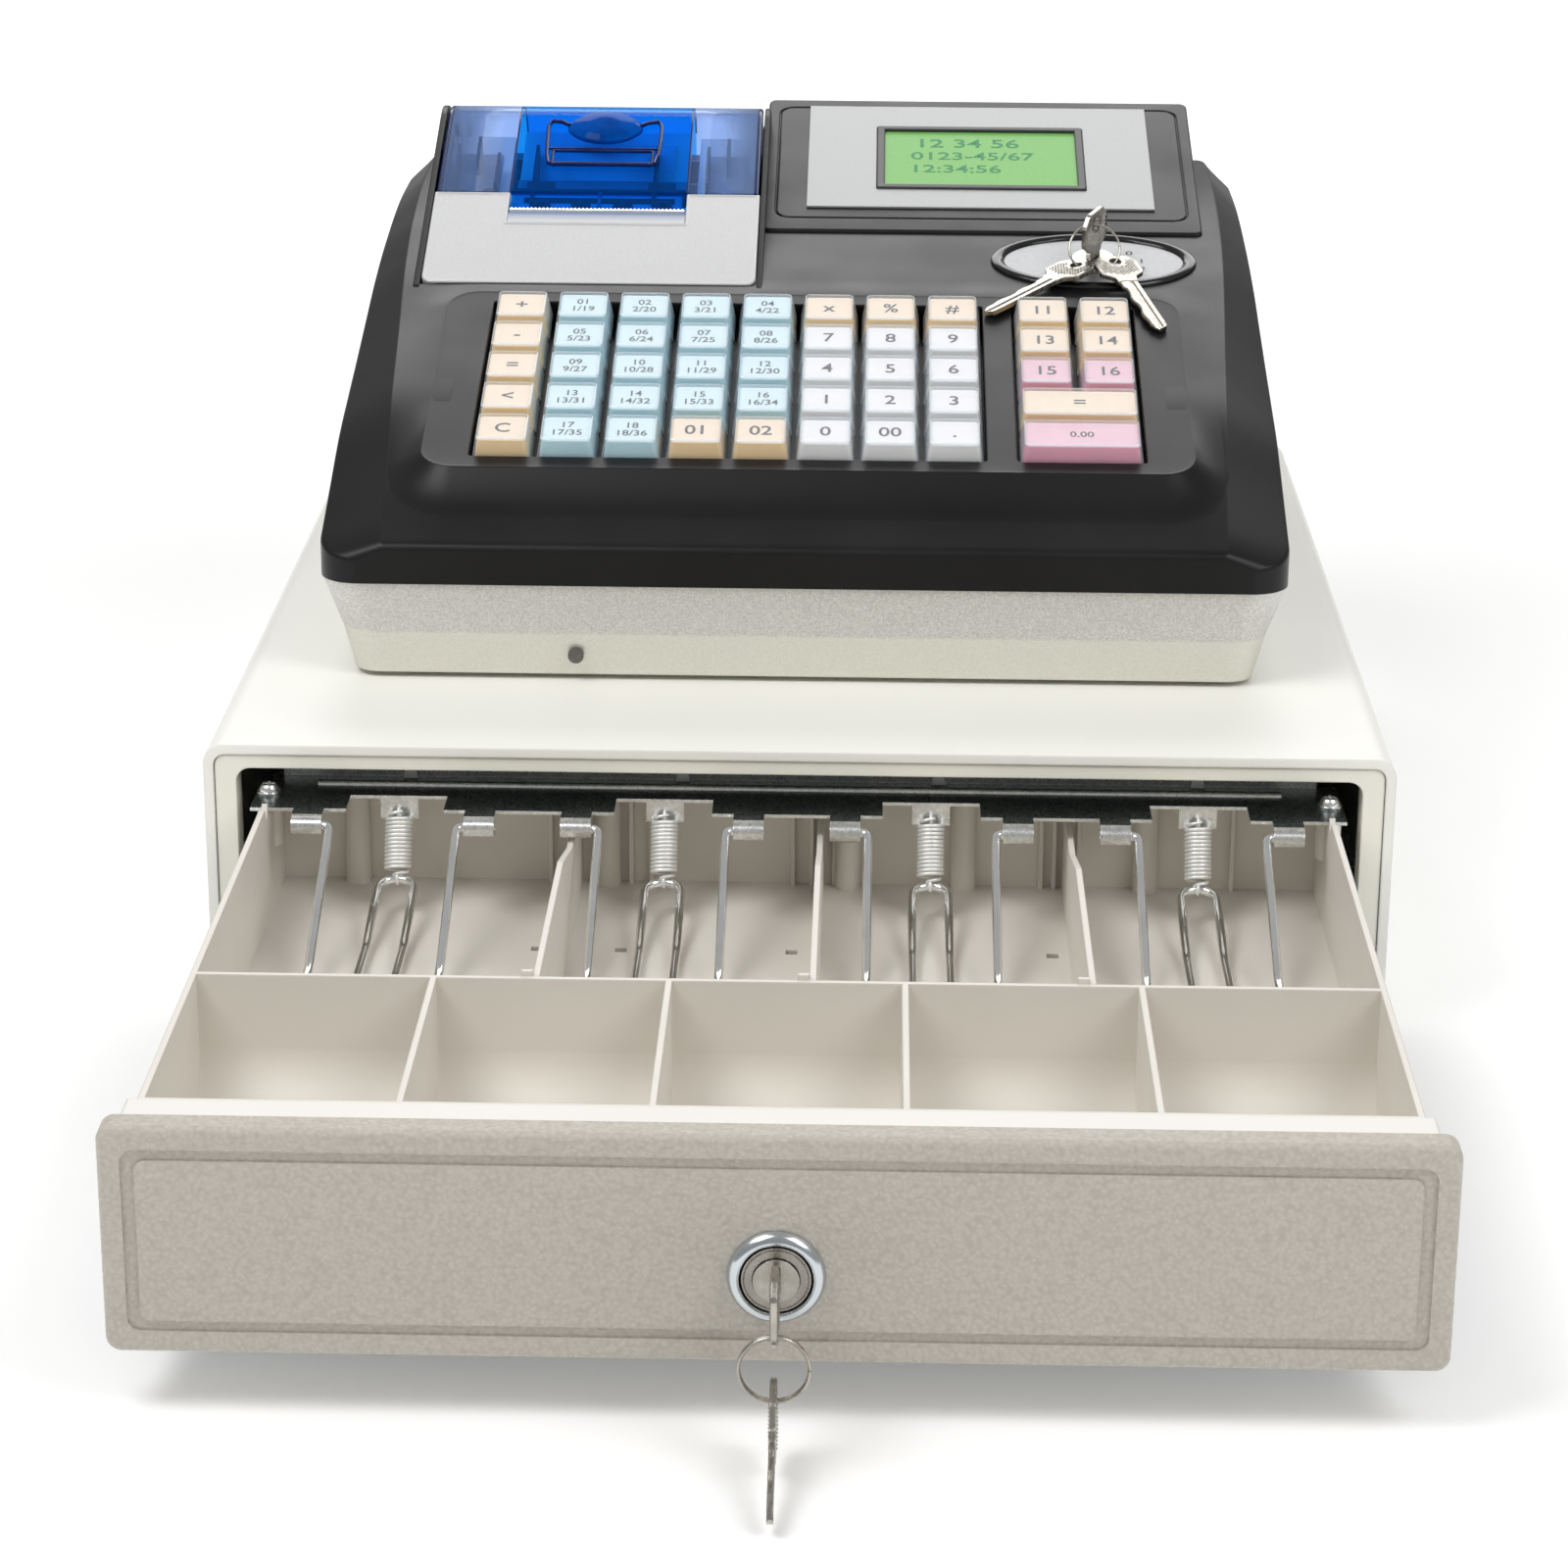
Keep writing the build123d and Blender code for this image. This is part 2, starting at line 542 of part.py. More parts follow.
def cover_profile(offset, start):
    """Side outline of the printer cover's outer face moved in by offset: slope, bend and back edge."""
    tilt = radians(PRINTER_TILT)
    normal = (-sin(tilt), cos(tilt))
    p0 = slope_points(PRINTER_FRONT, PRINTER_TILT, start)
    p1 = slope_points(PRINTER_FRONT, PRINTER_TILT, COVER_BEND)
    centre = (p1[0] - COVER_R * normal[0], p1[1] - COVER_R * normal[1])
    r = COVER_R - offset
    a = (p0[0] - offset * normal[0], p0[1] - offset * normal[1])
    b = (p1[0] - offset * normal[0], p1[1] - offset * normal[1])
    mid_angle = radians((90 + PRINTER_TILT) / 2)
    mid = (centre[0] + r * cos(mid_angle), centre[1] + r * sin(mid_angle))
    end = (centre[0] + r, centre[1])
    return a, b, mid, end


def profile_prism(lower, start, x0, x1, offset=0.0):
    """Solid under the cover's outline down to the height lower."""
    a, b, mid, end = cover_profile(offset, start)
    line = Polyline((a[0], lower), a, b) + ThreePointArc(b, mid, end) + Polyline(end, (end[0], lower), (a[0], lower))
    face = Plane.YZ * make_face(line)
    return Pos(x0, 0, 0) * extrude(face, x1 - x0)


def register_top():
    """Black upper shell: stepped deck, keyboard field, display pod and the printer's side cheeks."""
    x0, x1 = PRINTER_X
    outer = deck_solid(0)
    outer += plateau(0, PLATEAU_W, 14)
    outer += along_x(pod_outline(0), *POD_X)
    left_cheek = profile_prism(200, -3, x0 - 2.8, x0 - 0.3)
    right_cheek = profile_prism(200, -3, x1 + 0.3, x1 + 2.5)
    inner = deck_solid(WALL)
    inner += plateau(WALL, PLATEAU_W - WALL, 12)
    inner += along_x(pod_outline(WALL), POD_X[0] + WALL, POD_X[1] - WALL)
    top = (outer & corner_prism(0)) - (inner & corner_prism(WALL))
    bay = block(x0 - 0.3, x1 + 0.3, PRINTER_FRONT[0] - 0.4, 183, 150, 300)
    top -= bay
    top += left_cheek + right_cheek
    for well in well_rectangles(0):
        top -= on_keys(extrude(well, 30, both=True), PLATEAU_W)
    for outer_rim, inner_rim in zip(well_rectangles(1.4), well_rectangles(0)):
        top += on_keys(extrude(outer_rim - inner_rim, PLATEAU_W - 1 - FRAME_W), FRAME_W)
    for x in (x0 - 1.5, x1 + 1.5):
        top -= cylinder_along_x(x - 2.2, x + 2.2, *HINGE_YZ, 2.0 + RUNNING_FIT)
    window = slope_block(POD_FRONT, POD_TILT, 26, 106.5, 37, 89, -12, 6)
    mode_hole = mode_plane() * Cylinder(8.05, 30)
    seat = mode_plane() * Pos(0.3, 2, -1.0) * extrude(Ellipse(40.1, 24.1), 12)
    return top - window - mode_hole - seat


def corner_prism(inset):
    """Upright prism of the shell's plan, with its rounded corners."""
    depth = REGISTER_BACK_Y - REGISTER_FRONT_Y + 1.2 - 2 * inset
    plan = RectangleRounded(2 * (REGISTER_HALF_W - inset), depth, 14.0 - inset)
    return Pos(0, (REGISTER_FRONT_Y - 1.2 + REGISTER_BACK_Y) / 2, 200) * extrude(plan, 140, both=True)


def slope_block(front, tilt, x0, x1, s0, s1, w0, w1):
    """Box on a sloping face: s runs up the slope from front, w is its height off the face."""
    plane = Plane(origin=(0, front[0], front[1]), x_dir=(1, 0, 0), z_dir=(0, -sin(radians(tilt)), cos(radians(tilt))))
    return plane * block(x0, x1, s0, s1, w0, w1)


def base_screws():
    """Pan-head screws that hold the lower shell: one in the front, two in the back."""
    screws = []
    for x, y in BASE_SCREWS:
        out = 1 if y > 0 else -1
        face = y + out * 0.7
        head = cylinder_along_y(x, min(face, face + out * 1.6), max(face, face + out * 1.6), BASE_SCREW_Z, 2.8)
        shank = cylinder_along_y(x, min(face, face - out * 6), max(face, face - out * 6), BASE_SCREW_Z, 1.5)
        screws.append(head + shank)
    return screws


# ------------------------------------------------------------------ keyboard

def keyboard_frame():
    """Black plate at the bottom of both wells, with a guide hole for every key stem."""
    x0 = KEY_COLUMNS_X[0] - WELL_MARGIN - 4
    x1 = KEY_COLUMNS_X[9] + WELL_MARGIN + 4
    v = 2 * KEY_PITCH + WELL_MARGIN + 4
    plate = on_keys(block(x0, x1, -v, v, -2, 0), FRAME_W)
    for x, row in stem_places():
        plate -= on_keys(Pos(x, (2 - row) * KEY_PITCH, -1) * Box(5, 5, 4), FRAME_W)
    return plate


def stem_places():
    places = [(x, row) for x in KEY_COLUMNS_X[:8] for row in range(5)]
    places += [(x, row) for x in KEY_COLUMNS_X[8:] for row in range(3)]
    wide_x = (KEY_COLUMNS_X[8] + KEY_COLUMNS_X[9]) / 2
    return places + [(wide_x, 3), (wide_x, 4)]


def key_body(x, row, width=CAP_BOTTOM):
    """Key with its cap: a cut pyramid, a front lip and the stem that runs in the frame."""
    base = Rectangle(width, CAP_BOTTOM)
    top = Pos(0, 0, CAP_H) * Rectangle(width - CAP_BOTTOM + CAP_TOP, CAP_TOP)
    cap = loft([base, top], ruled=True)
    stem = Pos(0, 0, -2.6) * Box(4, 4, 5.2)
    return on_keys(Pos(x, (2 - row) * KEY_PITCH, 0) * (cap + stem), -CAP_H)


NUMBER_KEYS = {
    "7": (5, 1), "8": (6, 1), "9": (7, 1),
    "4": (5, 2), "5": (6, 2), "6": (7, 2),
    "1": (5, 3), "2": (6, 3), "3": (7, 3),
    "0": (5, 4), "00": (6, 4), "point": (7, 4),
}


def department_keys():
    places = [(column, row) for row in range(4) for column in range(1, 5)] + [(1, 4), (2, 4)]
    return [key_body(KEY_COLUMNS_X[column], row) for column, row in places]


def function_keys():
    places = [(0, row) for row in range(5)] + [(column, 0) for column in (5, 6, 7)] + [(3, 4), (4, 4)]
    places += [(column, row) for column in (8, 9) for row in range(3)]
    return [key_body(KEY_COLUMNS_X[column], row) for column, row in places]


def wide_key(row):
    x = (KEY_COLUMNS_X[8] + KEY_COLUMNS_X[9]) / 2
    return key_body(x, row, CAP_BOTTOM + KEY_PITCH)


def circuit_boards():
    """Switch board under the keys and the main board in the lower shell, each with its parts."""
    switch_board = on_keys(block(-130, 131, -64, 64, -1.6, 0), BOARD_W)
    for x, row in stem_places():
        dome = Pos(x, (2 - row) * KEY_PITCH, 0.5) * Box(7, 7, 1.0)
        switch_board += on_keys(dome, BOARD_W)
    main_board = block(-60, 140, 20, 180, 112, 113.6)
    for x, y, w, d, h in ((20, 90, 24, 24, 3), (70, 60, 14, 20, 4), (-30, 60, 18, 10, 3),
                          (95, 130, 12, 30, 10), (0, 150, 30, 12, 8)):
        main_board += block(x - w / 2, x + w / 2, y - d / 2, y + d / 2, 113.6, 113.6 + h)
    legs = [post(x, y, REGISTER_LOW + WALL, 112, 3.0) for x in (-55, 135) for y in (25, 175)]
    return [switch_board, main_board + legs]


# ------------------------------------------------------------------ display

def display_overlay():
    plate = slope_block(POD_FRONT, POD_TILT, -3.7, 135.0, 19.4, 110.3, 0, 0.8)
    return plate - slope_block(POD_FRONT, POD_TILT, 24, 108.5, 34.9, 91.0, -1, 2)


def lcd_module():
    """Display with its frame, standing in the pod's window."""
    frame = slope_block(POD_FRONT, POD_TILT, 24.2, 108.3, 35.1, 90.8, 0, 1.6)
    frame -= slope_block(POD_FRONT, POD_TILT, 27, 105.5, 38, 87.5, -1, 2)
    glass = slope_block(POD_FRONT, POD_TILT, 26.2, 106.3, 37.2, 88.8, -3, 0)
    board = slope_block(POD_FRONT, POD_TILT, 18, 114, 30, 96, -6.2, -4.6)
    spacer = slope_block(POD_FRONT, POD_TILT, 40, 92, 45, 80, -4.6, -3)
    return [frame + glass, board + spacer]


# ------------------------------------------------------------------ printer

def printer_panel():
    """Silver panel below the paper exit, notched for the tear bar."""
    x0, x1 = PRINTER_X
    panel = slope_block(PRINTER_FRONT, PRINTER_TILT, x0, x1, 0, PANEL_LEN, -2.4, 0)
    panel -= slope_block(PRINTER_FRONT, PRINTER_TILT, TEAR_X[0], TEAR_X[1], 48, PANEL_LEN + 1, -4, 1)
    return panel


def tear_bar():
    """Serrated strip in the panel's notch."""
    teeth = 28
    pitch = (TEAR_X[1] - TEAR_X[0] - 1) / teeth
    points = [(TEAR_X[0] + 0.5, 44.0), (TEAR_X[1] - 0.5, 44.0)]
    for index in range(teeth, -1, -1):
        x = TEAR_X[0] + 0.5 + index * pitch
        points.append((x, 54.2))
        if index:
            points.append((x - pitch / 2, 55.6))
    strip = extrude(make_face(Polyline(*points, close=True)), 0.8)
    plane = Plane(origin=(0,) + PRINTER_FRONT, x_dir=(1, 0, 0),
                  z_dir=(0, -sin(radians(PRINTER_TILT)), cos(radians(PRINTER_TILT))))
    return plane * Pos(0, 0, -3.4) * strip


def printer_mechanism():
    """Print-head block with its side plates, motor and the paper trough, and the tear bar on it."""
    xc = (TEAR_X[0] + TEAR_X[1]) / 2
    x0, x1 = xc - 38, xc + 38
    head = block(x0, x1, 62, 84, 196, 216)
    plate_outline = [(62, 190), (112, 190), (112, 228), (91, 228), (62, 214.5)]
    plates = along_x(plate_outline, x0, x0 + 2) + along_x(plate_outline, x1 - 2, x1)
    for x in (x0 + 1, x1 - 1):
        plates -= cylinder_along_x(x - 2, x + 2, *PLATEN_YZ, 1.5 + RUNNING_FIT)
    motor = cylinder_along_x(x1, x1 + 18, 76, 202, 8.0)
    trough = profile_trough(x0, x1)
    column = block(xc - 20, xc + 20, 66, 110, REGISTER_LOW + WALL + 14, 190)
    return [head + plates + motor + trough + column, tear_bar()]


def profile_trough(x0, x1):
    """Half-round cradle for the paper roll."""
    y, z = ROLL_YZ
    outer = cylinder_along_x(x0, x1, y, z, 24.0) & block(x0, x1, y - 30, y + 30, z - 30, z - 6)
    outer += block(x0, x1, 106, y - 16, 194, 204)
    return outer - cylinder_along_x(x0 + 2, x1 - 2, y, z, 22.0)


def paper_roll():
    xc = (TEAR_X[0] + TEAR_X[1]) / 2
    return cylinder_along_x(xc - 28.5, xc + 28.5, *ROLL_YZ, 20.0) - cylinder_along_x(xc - 30, xc + 30, *ROLL_YZ, 6.0)


def platen_roller():
    xc = (TEAR_X[0] + TEAR_X[1]) / 2
    roller = cylinder_along_x(xc - 30, xc + 30, *PLATEN_YZ, 4.2)
    shaft = cylinder_along_x(xc - 37.5, xc + 37.5, *PLATEN_YZ, 1.5)
    gear = cylinder_along_x(xc + 33, xc + 35.5, *PLATEN_YZ, 5.5)
    return roller + shaft + gear


def printer_cover():
    """Clear blue lid: a sloping front with a tongue over the paper exit, a rolled back and two hinge ears."""
    x0, x1 = PRINTER_X[0] + 0.4, PRINTER_X[1] - 0.4
    start = PANEL_LEN - 2
    shell = profile_prism(226.9, start, x0, x1) - profile_prism(226.0, start - 2, x0 + COVER_T, x1 - COVER_T, COVER_T)
    shell -= slope_block(PRINTER_FRONT, PRINTER_TILT, x0 - 1, x1 + 1, 0, PANEL_LEN + 0.5, -20, 2)
    skirt_cut = slope_block(PRINTER_FRONT, PRINTER_TILT, x0 - 1, x1 + 1, 0, COVER_BEND + 12, -60, -7)
    shell -= skirt_cut & block(x0 - 1, x1 + 1, 0, 160, 100, 300)
    tongue = slope_block(PRINTER_FRONT, PRINTER_TILT, TEAR_X[0] + 0.6, TEAR_X[1] - 0.6, 56.5, PANEL_LEN + 6, -COVER_T, 0)
    thumb = slope_block(PRINTER_FRONT, PRINTER_TILT, -101, -71, 104, 116, 0, 3)
    shell += tongue + thumb
    y, z = HINGE_YZ
    for side, x in ((-1, x0), (1, x1)):
        ear = block(min(x, x - side * 3), max(x, x - side * 3), y - 5, y + 3.5, z - 2.0, z + 8)
        shell += ear + cylinder_along_x(x - 1.9, x + 1.9, y, z, 2.0)
    return shell


# ------------------------------------------------------------------ mode lock

def mode_plane():
    return Plane(origin=(MODE_XY[0], MODE_XY[1], MODE_Z), x_dir=(1, 0, 0),
                 z_dir=(0, -sin(radians(MODE_TILT)), cos(radians(MODE_TILT))))


def mode_label():
    """Raised oval ring round a printed plate, both pierced by the lock."""
    ring = extrude(Ellipse(40.0, 24.0) - Ellipse(35.0, 19.6), 2.6)
    plate = extrude(Ellipse(34.8, 19.4) - Circle(8.1), 1.4)
    return [mode_plane() * Pos(0.3, 2, -1.0) * ring, mode_plane() * (Pos(0.3, 2, -1.0) * plate - Cylinder(8.1, 20))]


def mode_barrel():
    barrel = Pos(0, 0, -8) * Cylinder(8.0, 22)
    return mode_plane() * (barrel - Pos(0, 0, -8) * Cylinder(5.5 + RUNNING_FIT, 30))


def mode_plug():
    plug = Pos(0, 0, -8) * Cylinder(5.5, 22)
    slot = Pos(0, 0, -4) * Rot(0, 0, MODE_KEY_TURN) * Box(KEY_T + 0.3, 7.6, 17)
    return mode_plane() * (plug - slot)


def mode_key():
    """Key standing in the mode lock, its bow turned a little from edge-on."""
    key = key_shape(14.5, (-17.0 * MODE_BOW, 0), MODE_BOW)
    upright = Plane(origin=(0, 0, MODE_KEY_SEAT), x_dir=(0, 0, -1), z_dir=(1, 0, 0))
    return mode_plane().location * Rot(0, 0, MODE_KEY_TURN) * upright.location * key


def mode_key_set():
    """Split ring through the standing key's hole, and two more keys that hang from it onto the deck."""
    hole = mode_plane() * Pos(0, 0, MODE_KEY_SEAT + 17.0 * MODE_BOW - RING_SLACK)
    ring = hole * Rot(-MODE_RING_LEAN, 0, 0) * Pos(0, 0, -RING_R) * Rot(90, 0, 0) * Torus(RING_R, RING_WIRE_R)
    first = spare_key(Vector(101.5, 37.5, 214.2), Vector(66.2, 3.2, 203.8))
    second = spare_key(Vector(116.3, 38.0, 215.6), Vector(131.3, -8.5, 200.4))
    return [ring, first, second]


def spare_key(hole_at, tip_at):
    """Key laid with its bow hole at one point and its blade pointing at another."""
    run = (tip_at - hole_at).normalized()
    side = Vector(0, 0, 1).cross(run).normalized()
    plane = Plane(origin=hole_at, x_dir=run, z_dir=run.cross(side))
    hole_x = 18.0 * MODE_BOW
    return plane * Pos(hole_x, 0, 0) * key_shape(36.0, (-hole_x, 0), MODE_BOW)


# ------------------------------------------------------------------ back

def rear_ports():
    """Socket strip at the back: power inlet, drawer socket and a serial socket."""
    y0, y1 = 189.5, 194.4
    plate = block(*PORTS_X, y0, y1, 104.8, 117)
    plate -= cylinder_along_y(34, y1 - 3.5, y1 + 1, 110.5, 3.0)
    plate -= block(52, 63, y1 - 3.5, y1 + 1, 106.5, 114.5)
    plate -= block(78, 110, y1 - 3.5, y1 + 1, 106.5, 114.5)
    return plate


def build():
    os.makedirs("parts", exist_ok=True)
    save("housing_shell", housing_shell())
    save("base_plate", base_plate())
    save("front_frame", front_frame())
    save("housing_feet", *housing_feet())
    save("outer_rails", *mirrored(outer_rail()))
    save("latch_solenoid", *latch_solenoid())
    save("latch_hook", latch_hook())
    save("ejector_spring", *ejector_spring())
    save("drawer_carrier", drawer_carrier())
    save("inner_rails", *mirrored(inner_rail()))
    save("drawer_tray", drawer_tray())
    save("bill_dividers", *bill_dividers())
    save("clip_bar", clip_bar())
    save("clip_bar_screws", *clip_bar_screws())
    for number, centre in enumerate(CLIP_CENTRES_X, 1):
        save(f"bill_clip_{number}", bill_clip(centre))
    save("clip_springs", *[clip_spring(centre) for centre in CLIP_CENTRES_X])
    save("front_backing", front_backing())
    save("front_panel", front_panel())
    save("lock_barrel", lock_barrel())
    save("lock_plug", lock_plug())
    save("drawer_key", drawer_key())
    save("drawer_key_ring", drawer_key_ring())
    save("spare_drawer_key", spare_drawer_key())
    save("register_base", *register_base())
    save("register_top", register_top())
    save("base_screws", *base_screws())
    save("keyboard_frame", keyboard_frame())
    save("circuit_boards", *circuit_boards())
    for name, (column, row) in NUMBER_KEYS.items():
        save(f"key_{name}", key_body(KEY_COLUMNS_X[column], row))
    save("department_keys", *department_keys())
    save("function_keys", *function_keys())
    save("total_key", wide_key(3))
    save("cash_key", wide_key(4))
    save("display_overlay", display_overlay())
    save("lcd_module", *lcd_module())
    save("printer_panel", printer_panel())
    save("printer_mechanism", *printer_mechanism())
    save("paper_roll", paper_roll())
    save("platen_roller", platen_roller())
    save("printer_cover", printer_cover())
    save("mode_label", *mode_label())
    save("mode_barrel", mode_barrel())
    save("mode_plug", mode_plug())
    save("mode_key", mode_key())
    save("mode_key_set", *mode_key_set())
    save("rear_ports", rear_ports())


build()
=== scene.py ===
"""Looks of a countertop cash register: materials, detailed meshes, studio and camera round the CAD frame."""

import json
import math

import bmesh
import bpy
import numpy as np
from mathutils import Matrix, Vector


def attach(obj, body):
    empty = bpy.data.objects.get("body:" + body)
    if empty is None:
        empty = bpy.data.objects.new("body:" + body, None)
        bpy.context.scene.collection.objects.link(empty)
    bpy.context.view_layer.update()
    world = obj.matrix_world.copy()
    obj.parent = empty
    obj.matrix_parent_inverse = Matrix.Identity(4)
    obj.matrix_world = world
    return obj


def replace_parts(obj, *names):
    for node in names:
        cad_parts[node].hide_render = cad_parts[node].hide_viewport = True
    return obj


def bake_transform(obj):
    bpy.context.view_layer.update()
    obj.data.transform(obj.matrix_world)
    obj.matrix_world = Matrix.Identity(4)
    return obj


MM = 0.001
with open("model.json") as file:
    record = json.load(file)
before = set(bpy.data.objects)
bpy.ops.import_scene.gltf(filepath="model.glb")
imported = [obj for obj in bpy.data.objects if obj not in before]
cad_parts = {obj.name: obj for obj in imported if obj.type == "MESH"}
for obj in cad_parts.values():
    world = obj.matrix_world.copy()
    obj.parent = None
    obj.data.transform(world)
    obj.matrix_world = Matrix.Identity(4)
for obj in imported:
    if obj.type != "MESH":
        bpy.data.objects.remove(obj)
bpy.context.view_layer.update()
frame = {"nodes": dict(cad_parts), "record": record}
NODES = frame["nodes"]


# ------------------------------------------------------------------ shader helpers

class Shader:
    """A Principled material whose nodes are added with short calls; textures read the row frame in metres."""

    def __init__(self, name, **sockets):
        self.material = bpy.data.materials.new(name)
        self.material.use_nodes = True
        self.tree = self.material.node_tree
        self.bsdf = self.tree.nodes["Principled BSDF"]
        self.coords = self.node("ShaderNodeTexCoord").outputs["Object"]
        for socket, value in sockets.items():
            self.set(socket, value)

    def set(self, socket, value):
        socket = socket.replace("_", " ")
        if isinstance(value, bpy.types.NodeSocket):
            self.tree.links.new(value, self.bsdf.inputs[socket])
        elif isinstance(value, (tuple, list)) and len(value) == 3:
            self.bsdf.inputs[socket].default_value = (*value, 1.0)
        else:
            self.bsdf.inputs[socket].default_value = value

    def node(self, kind, settings=None, **inputs):
        made = self.tree.nodes.new(kind)
        for key, value in (settings or {}).items():
            setattr(made, key, value)
        for key, value in inputs.items():
            socket = made.inputs[key.replace("_", " ")]
            if isinstance(value, bpy.types.NodeSocket):
                self.tree.links.new(value, socket)
            else:
                socket.default_value = value
        return made

    def stretched(self, scale):
        """Coordinates scaled by a different factor along each axis."""
        return self.node("ShaderNodeMapping", Vector=self.coords, Scale=scale).outputs["Vector"]

    def noise(self, scale, detail=2.0, coords=None):
        made = self.node("ShaderNodeTexNoise", Vector=coords or self.coords, Scale=scale, Detail=detail)
        return made.outputs["Fac"]

    def cells(self, scale, feature="F1", coords=None, output="Distance"):
        coords = coords or self.coords
        made = self.node("ShaderNodeTexVoronoi", {"feature": feature}, Vector=coords, Scale=scale)
        return made.outputs[output]

    def flakes(self, scale):
        """A random value for each small cell."""
        return self.node("ShaderNodeSeparateColor", Color=self.cells(scale, output="Color")).outputs[0]

    def height(self):
        return self.node("ShaderNodeSeparateXYZ", Vector=self.coords).outputs[2]

    def remap(self, value, low, high, from_low=0.3, from_high=0.7):
        made = self.node("ShaderNodeMapRange", Value=value)
        made.inputs["From Min"].default_value = from_low
        made.inputs["From Max"].default_value = from_high
        made.inputs["To Min"].default_value = low
        made.inputs["To Max"].default_value = high
        return made.outputs["Result"]

    def mixed(self, factor, first, second):
        made = self.node("ShaderNodeMix", {"data_type": "RGBA"})
        made.inputs[0].default_value = 0.5
        self.tree.links.new(factor, made.inputs[0])
        for index, colour in ((6, first), (7, second)):
            if isinstance(colour, bpy.types.NodeSocket):
                self.tree.links.new(colour, made.inputs[index])
            else:
                made.inputs[index].default_value = (*colour, 1.0)
        return made.outputs[2]

    def math(self, operation, first, second):
        made = self.node("ShaderNodeMath", {"operation": operation})
        for index, value in enumerate((first, second)):
            if isinstance(value, bpy.types.NodeSocket):
                self.tree.links.new(value, made.inputs[index])
            else:
                made.inputs[index].default_value = value
        return made.outputs[0]

    def vary(self, colour, amount, scale, detail=3.0):
        """The colour, a little lighter and darker in soft patches."""
        light = tuple(min(1.0, c * (1 + amount)) for c in colour)
        dark = tuple(c * (1 - amount) for c in colour)
        mask = self.remap(self.noise(scale, detail), 0.0, 1.0, 0.35, 0.65)
        return self.mixed(mask, dark, light)

    def bump(self, height, distance, strength=1.0, normal=None):
        made = self.node("ShaderNodeBump", Height=height, Distance=distance, Strength=strength)
        if normal is not None:
            self.tree.links.new(normal, made.inputs["Normal"])
        return made.outputs["Normal"]

    def rounded(self, radius):
        """Edges that catch the light as if they were rounded."""
        return self.node("ShaderNodeBevel", {"samples": 6}, Radius=radius).outputs["Normal"]


def coat(name, tone, gloss=None, grain=None, bevel=None, **sockets):
    """One colour in patches; gloss is (scale, detail, low, high), grain is (scale, detail, depth, strength)."""
    s = Shader(name, **sockets)
    s.set("Base Color", s.vary(*tone))
    if gloss:
        s.set("Roughness", s.remap(s.noise(*gloss[:2]), *gloss[2:]))
    normal = s.rounded(bevel) if bevel else None
    if grain:
        normal = s.bump(s.noise(*grain[:2]), *grain[2:], normal)
    if normal:
        s.set("Normal", normal)
    return s.material


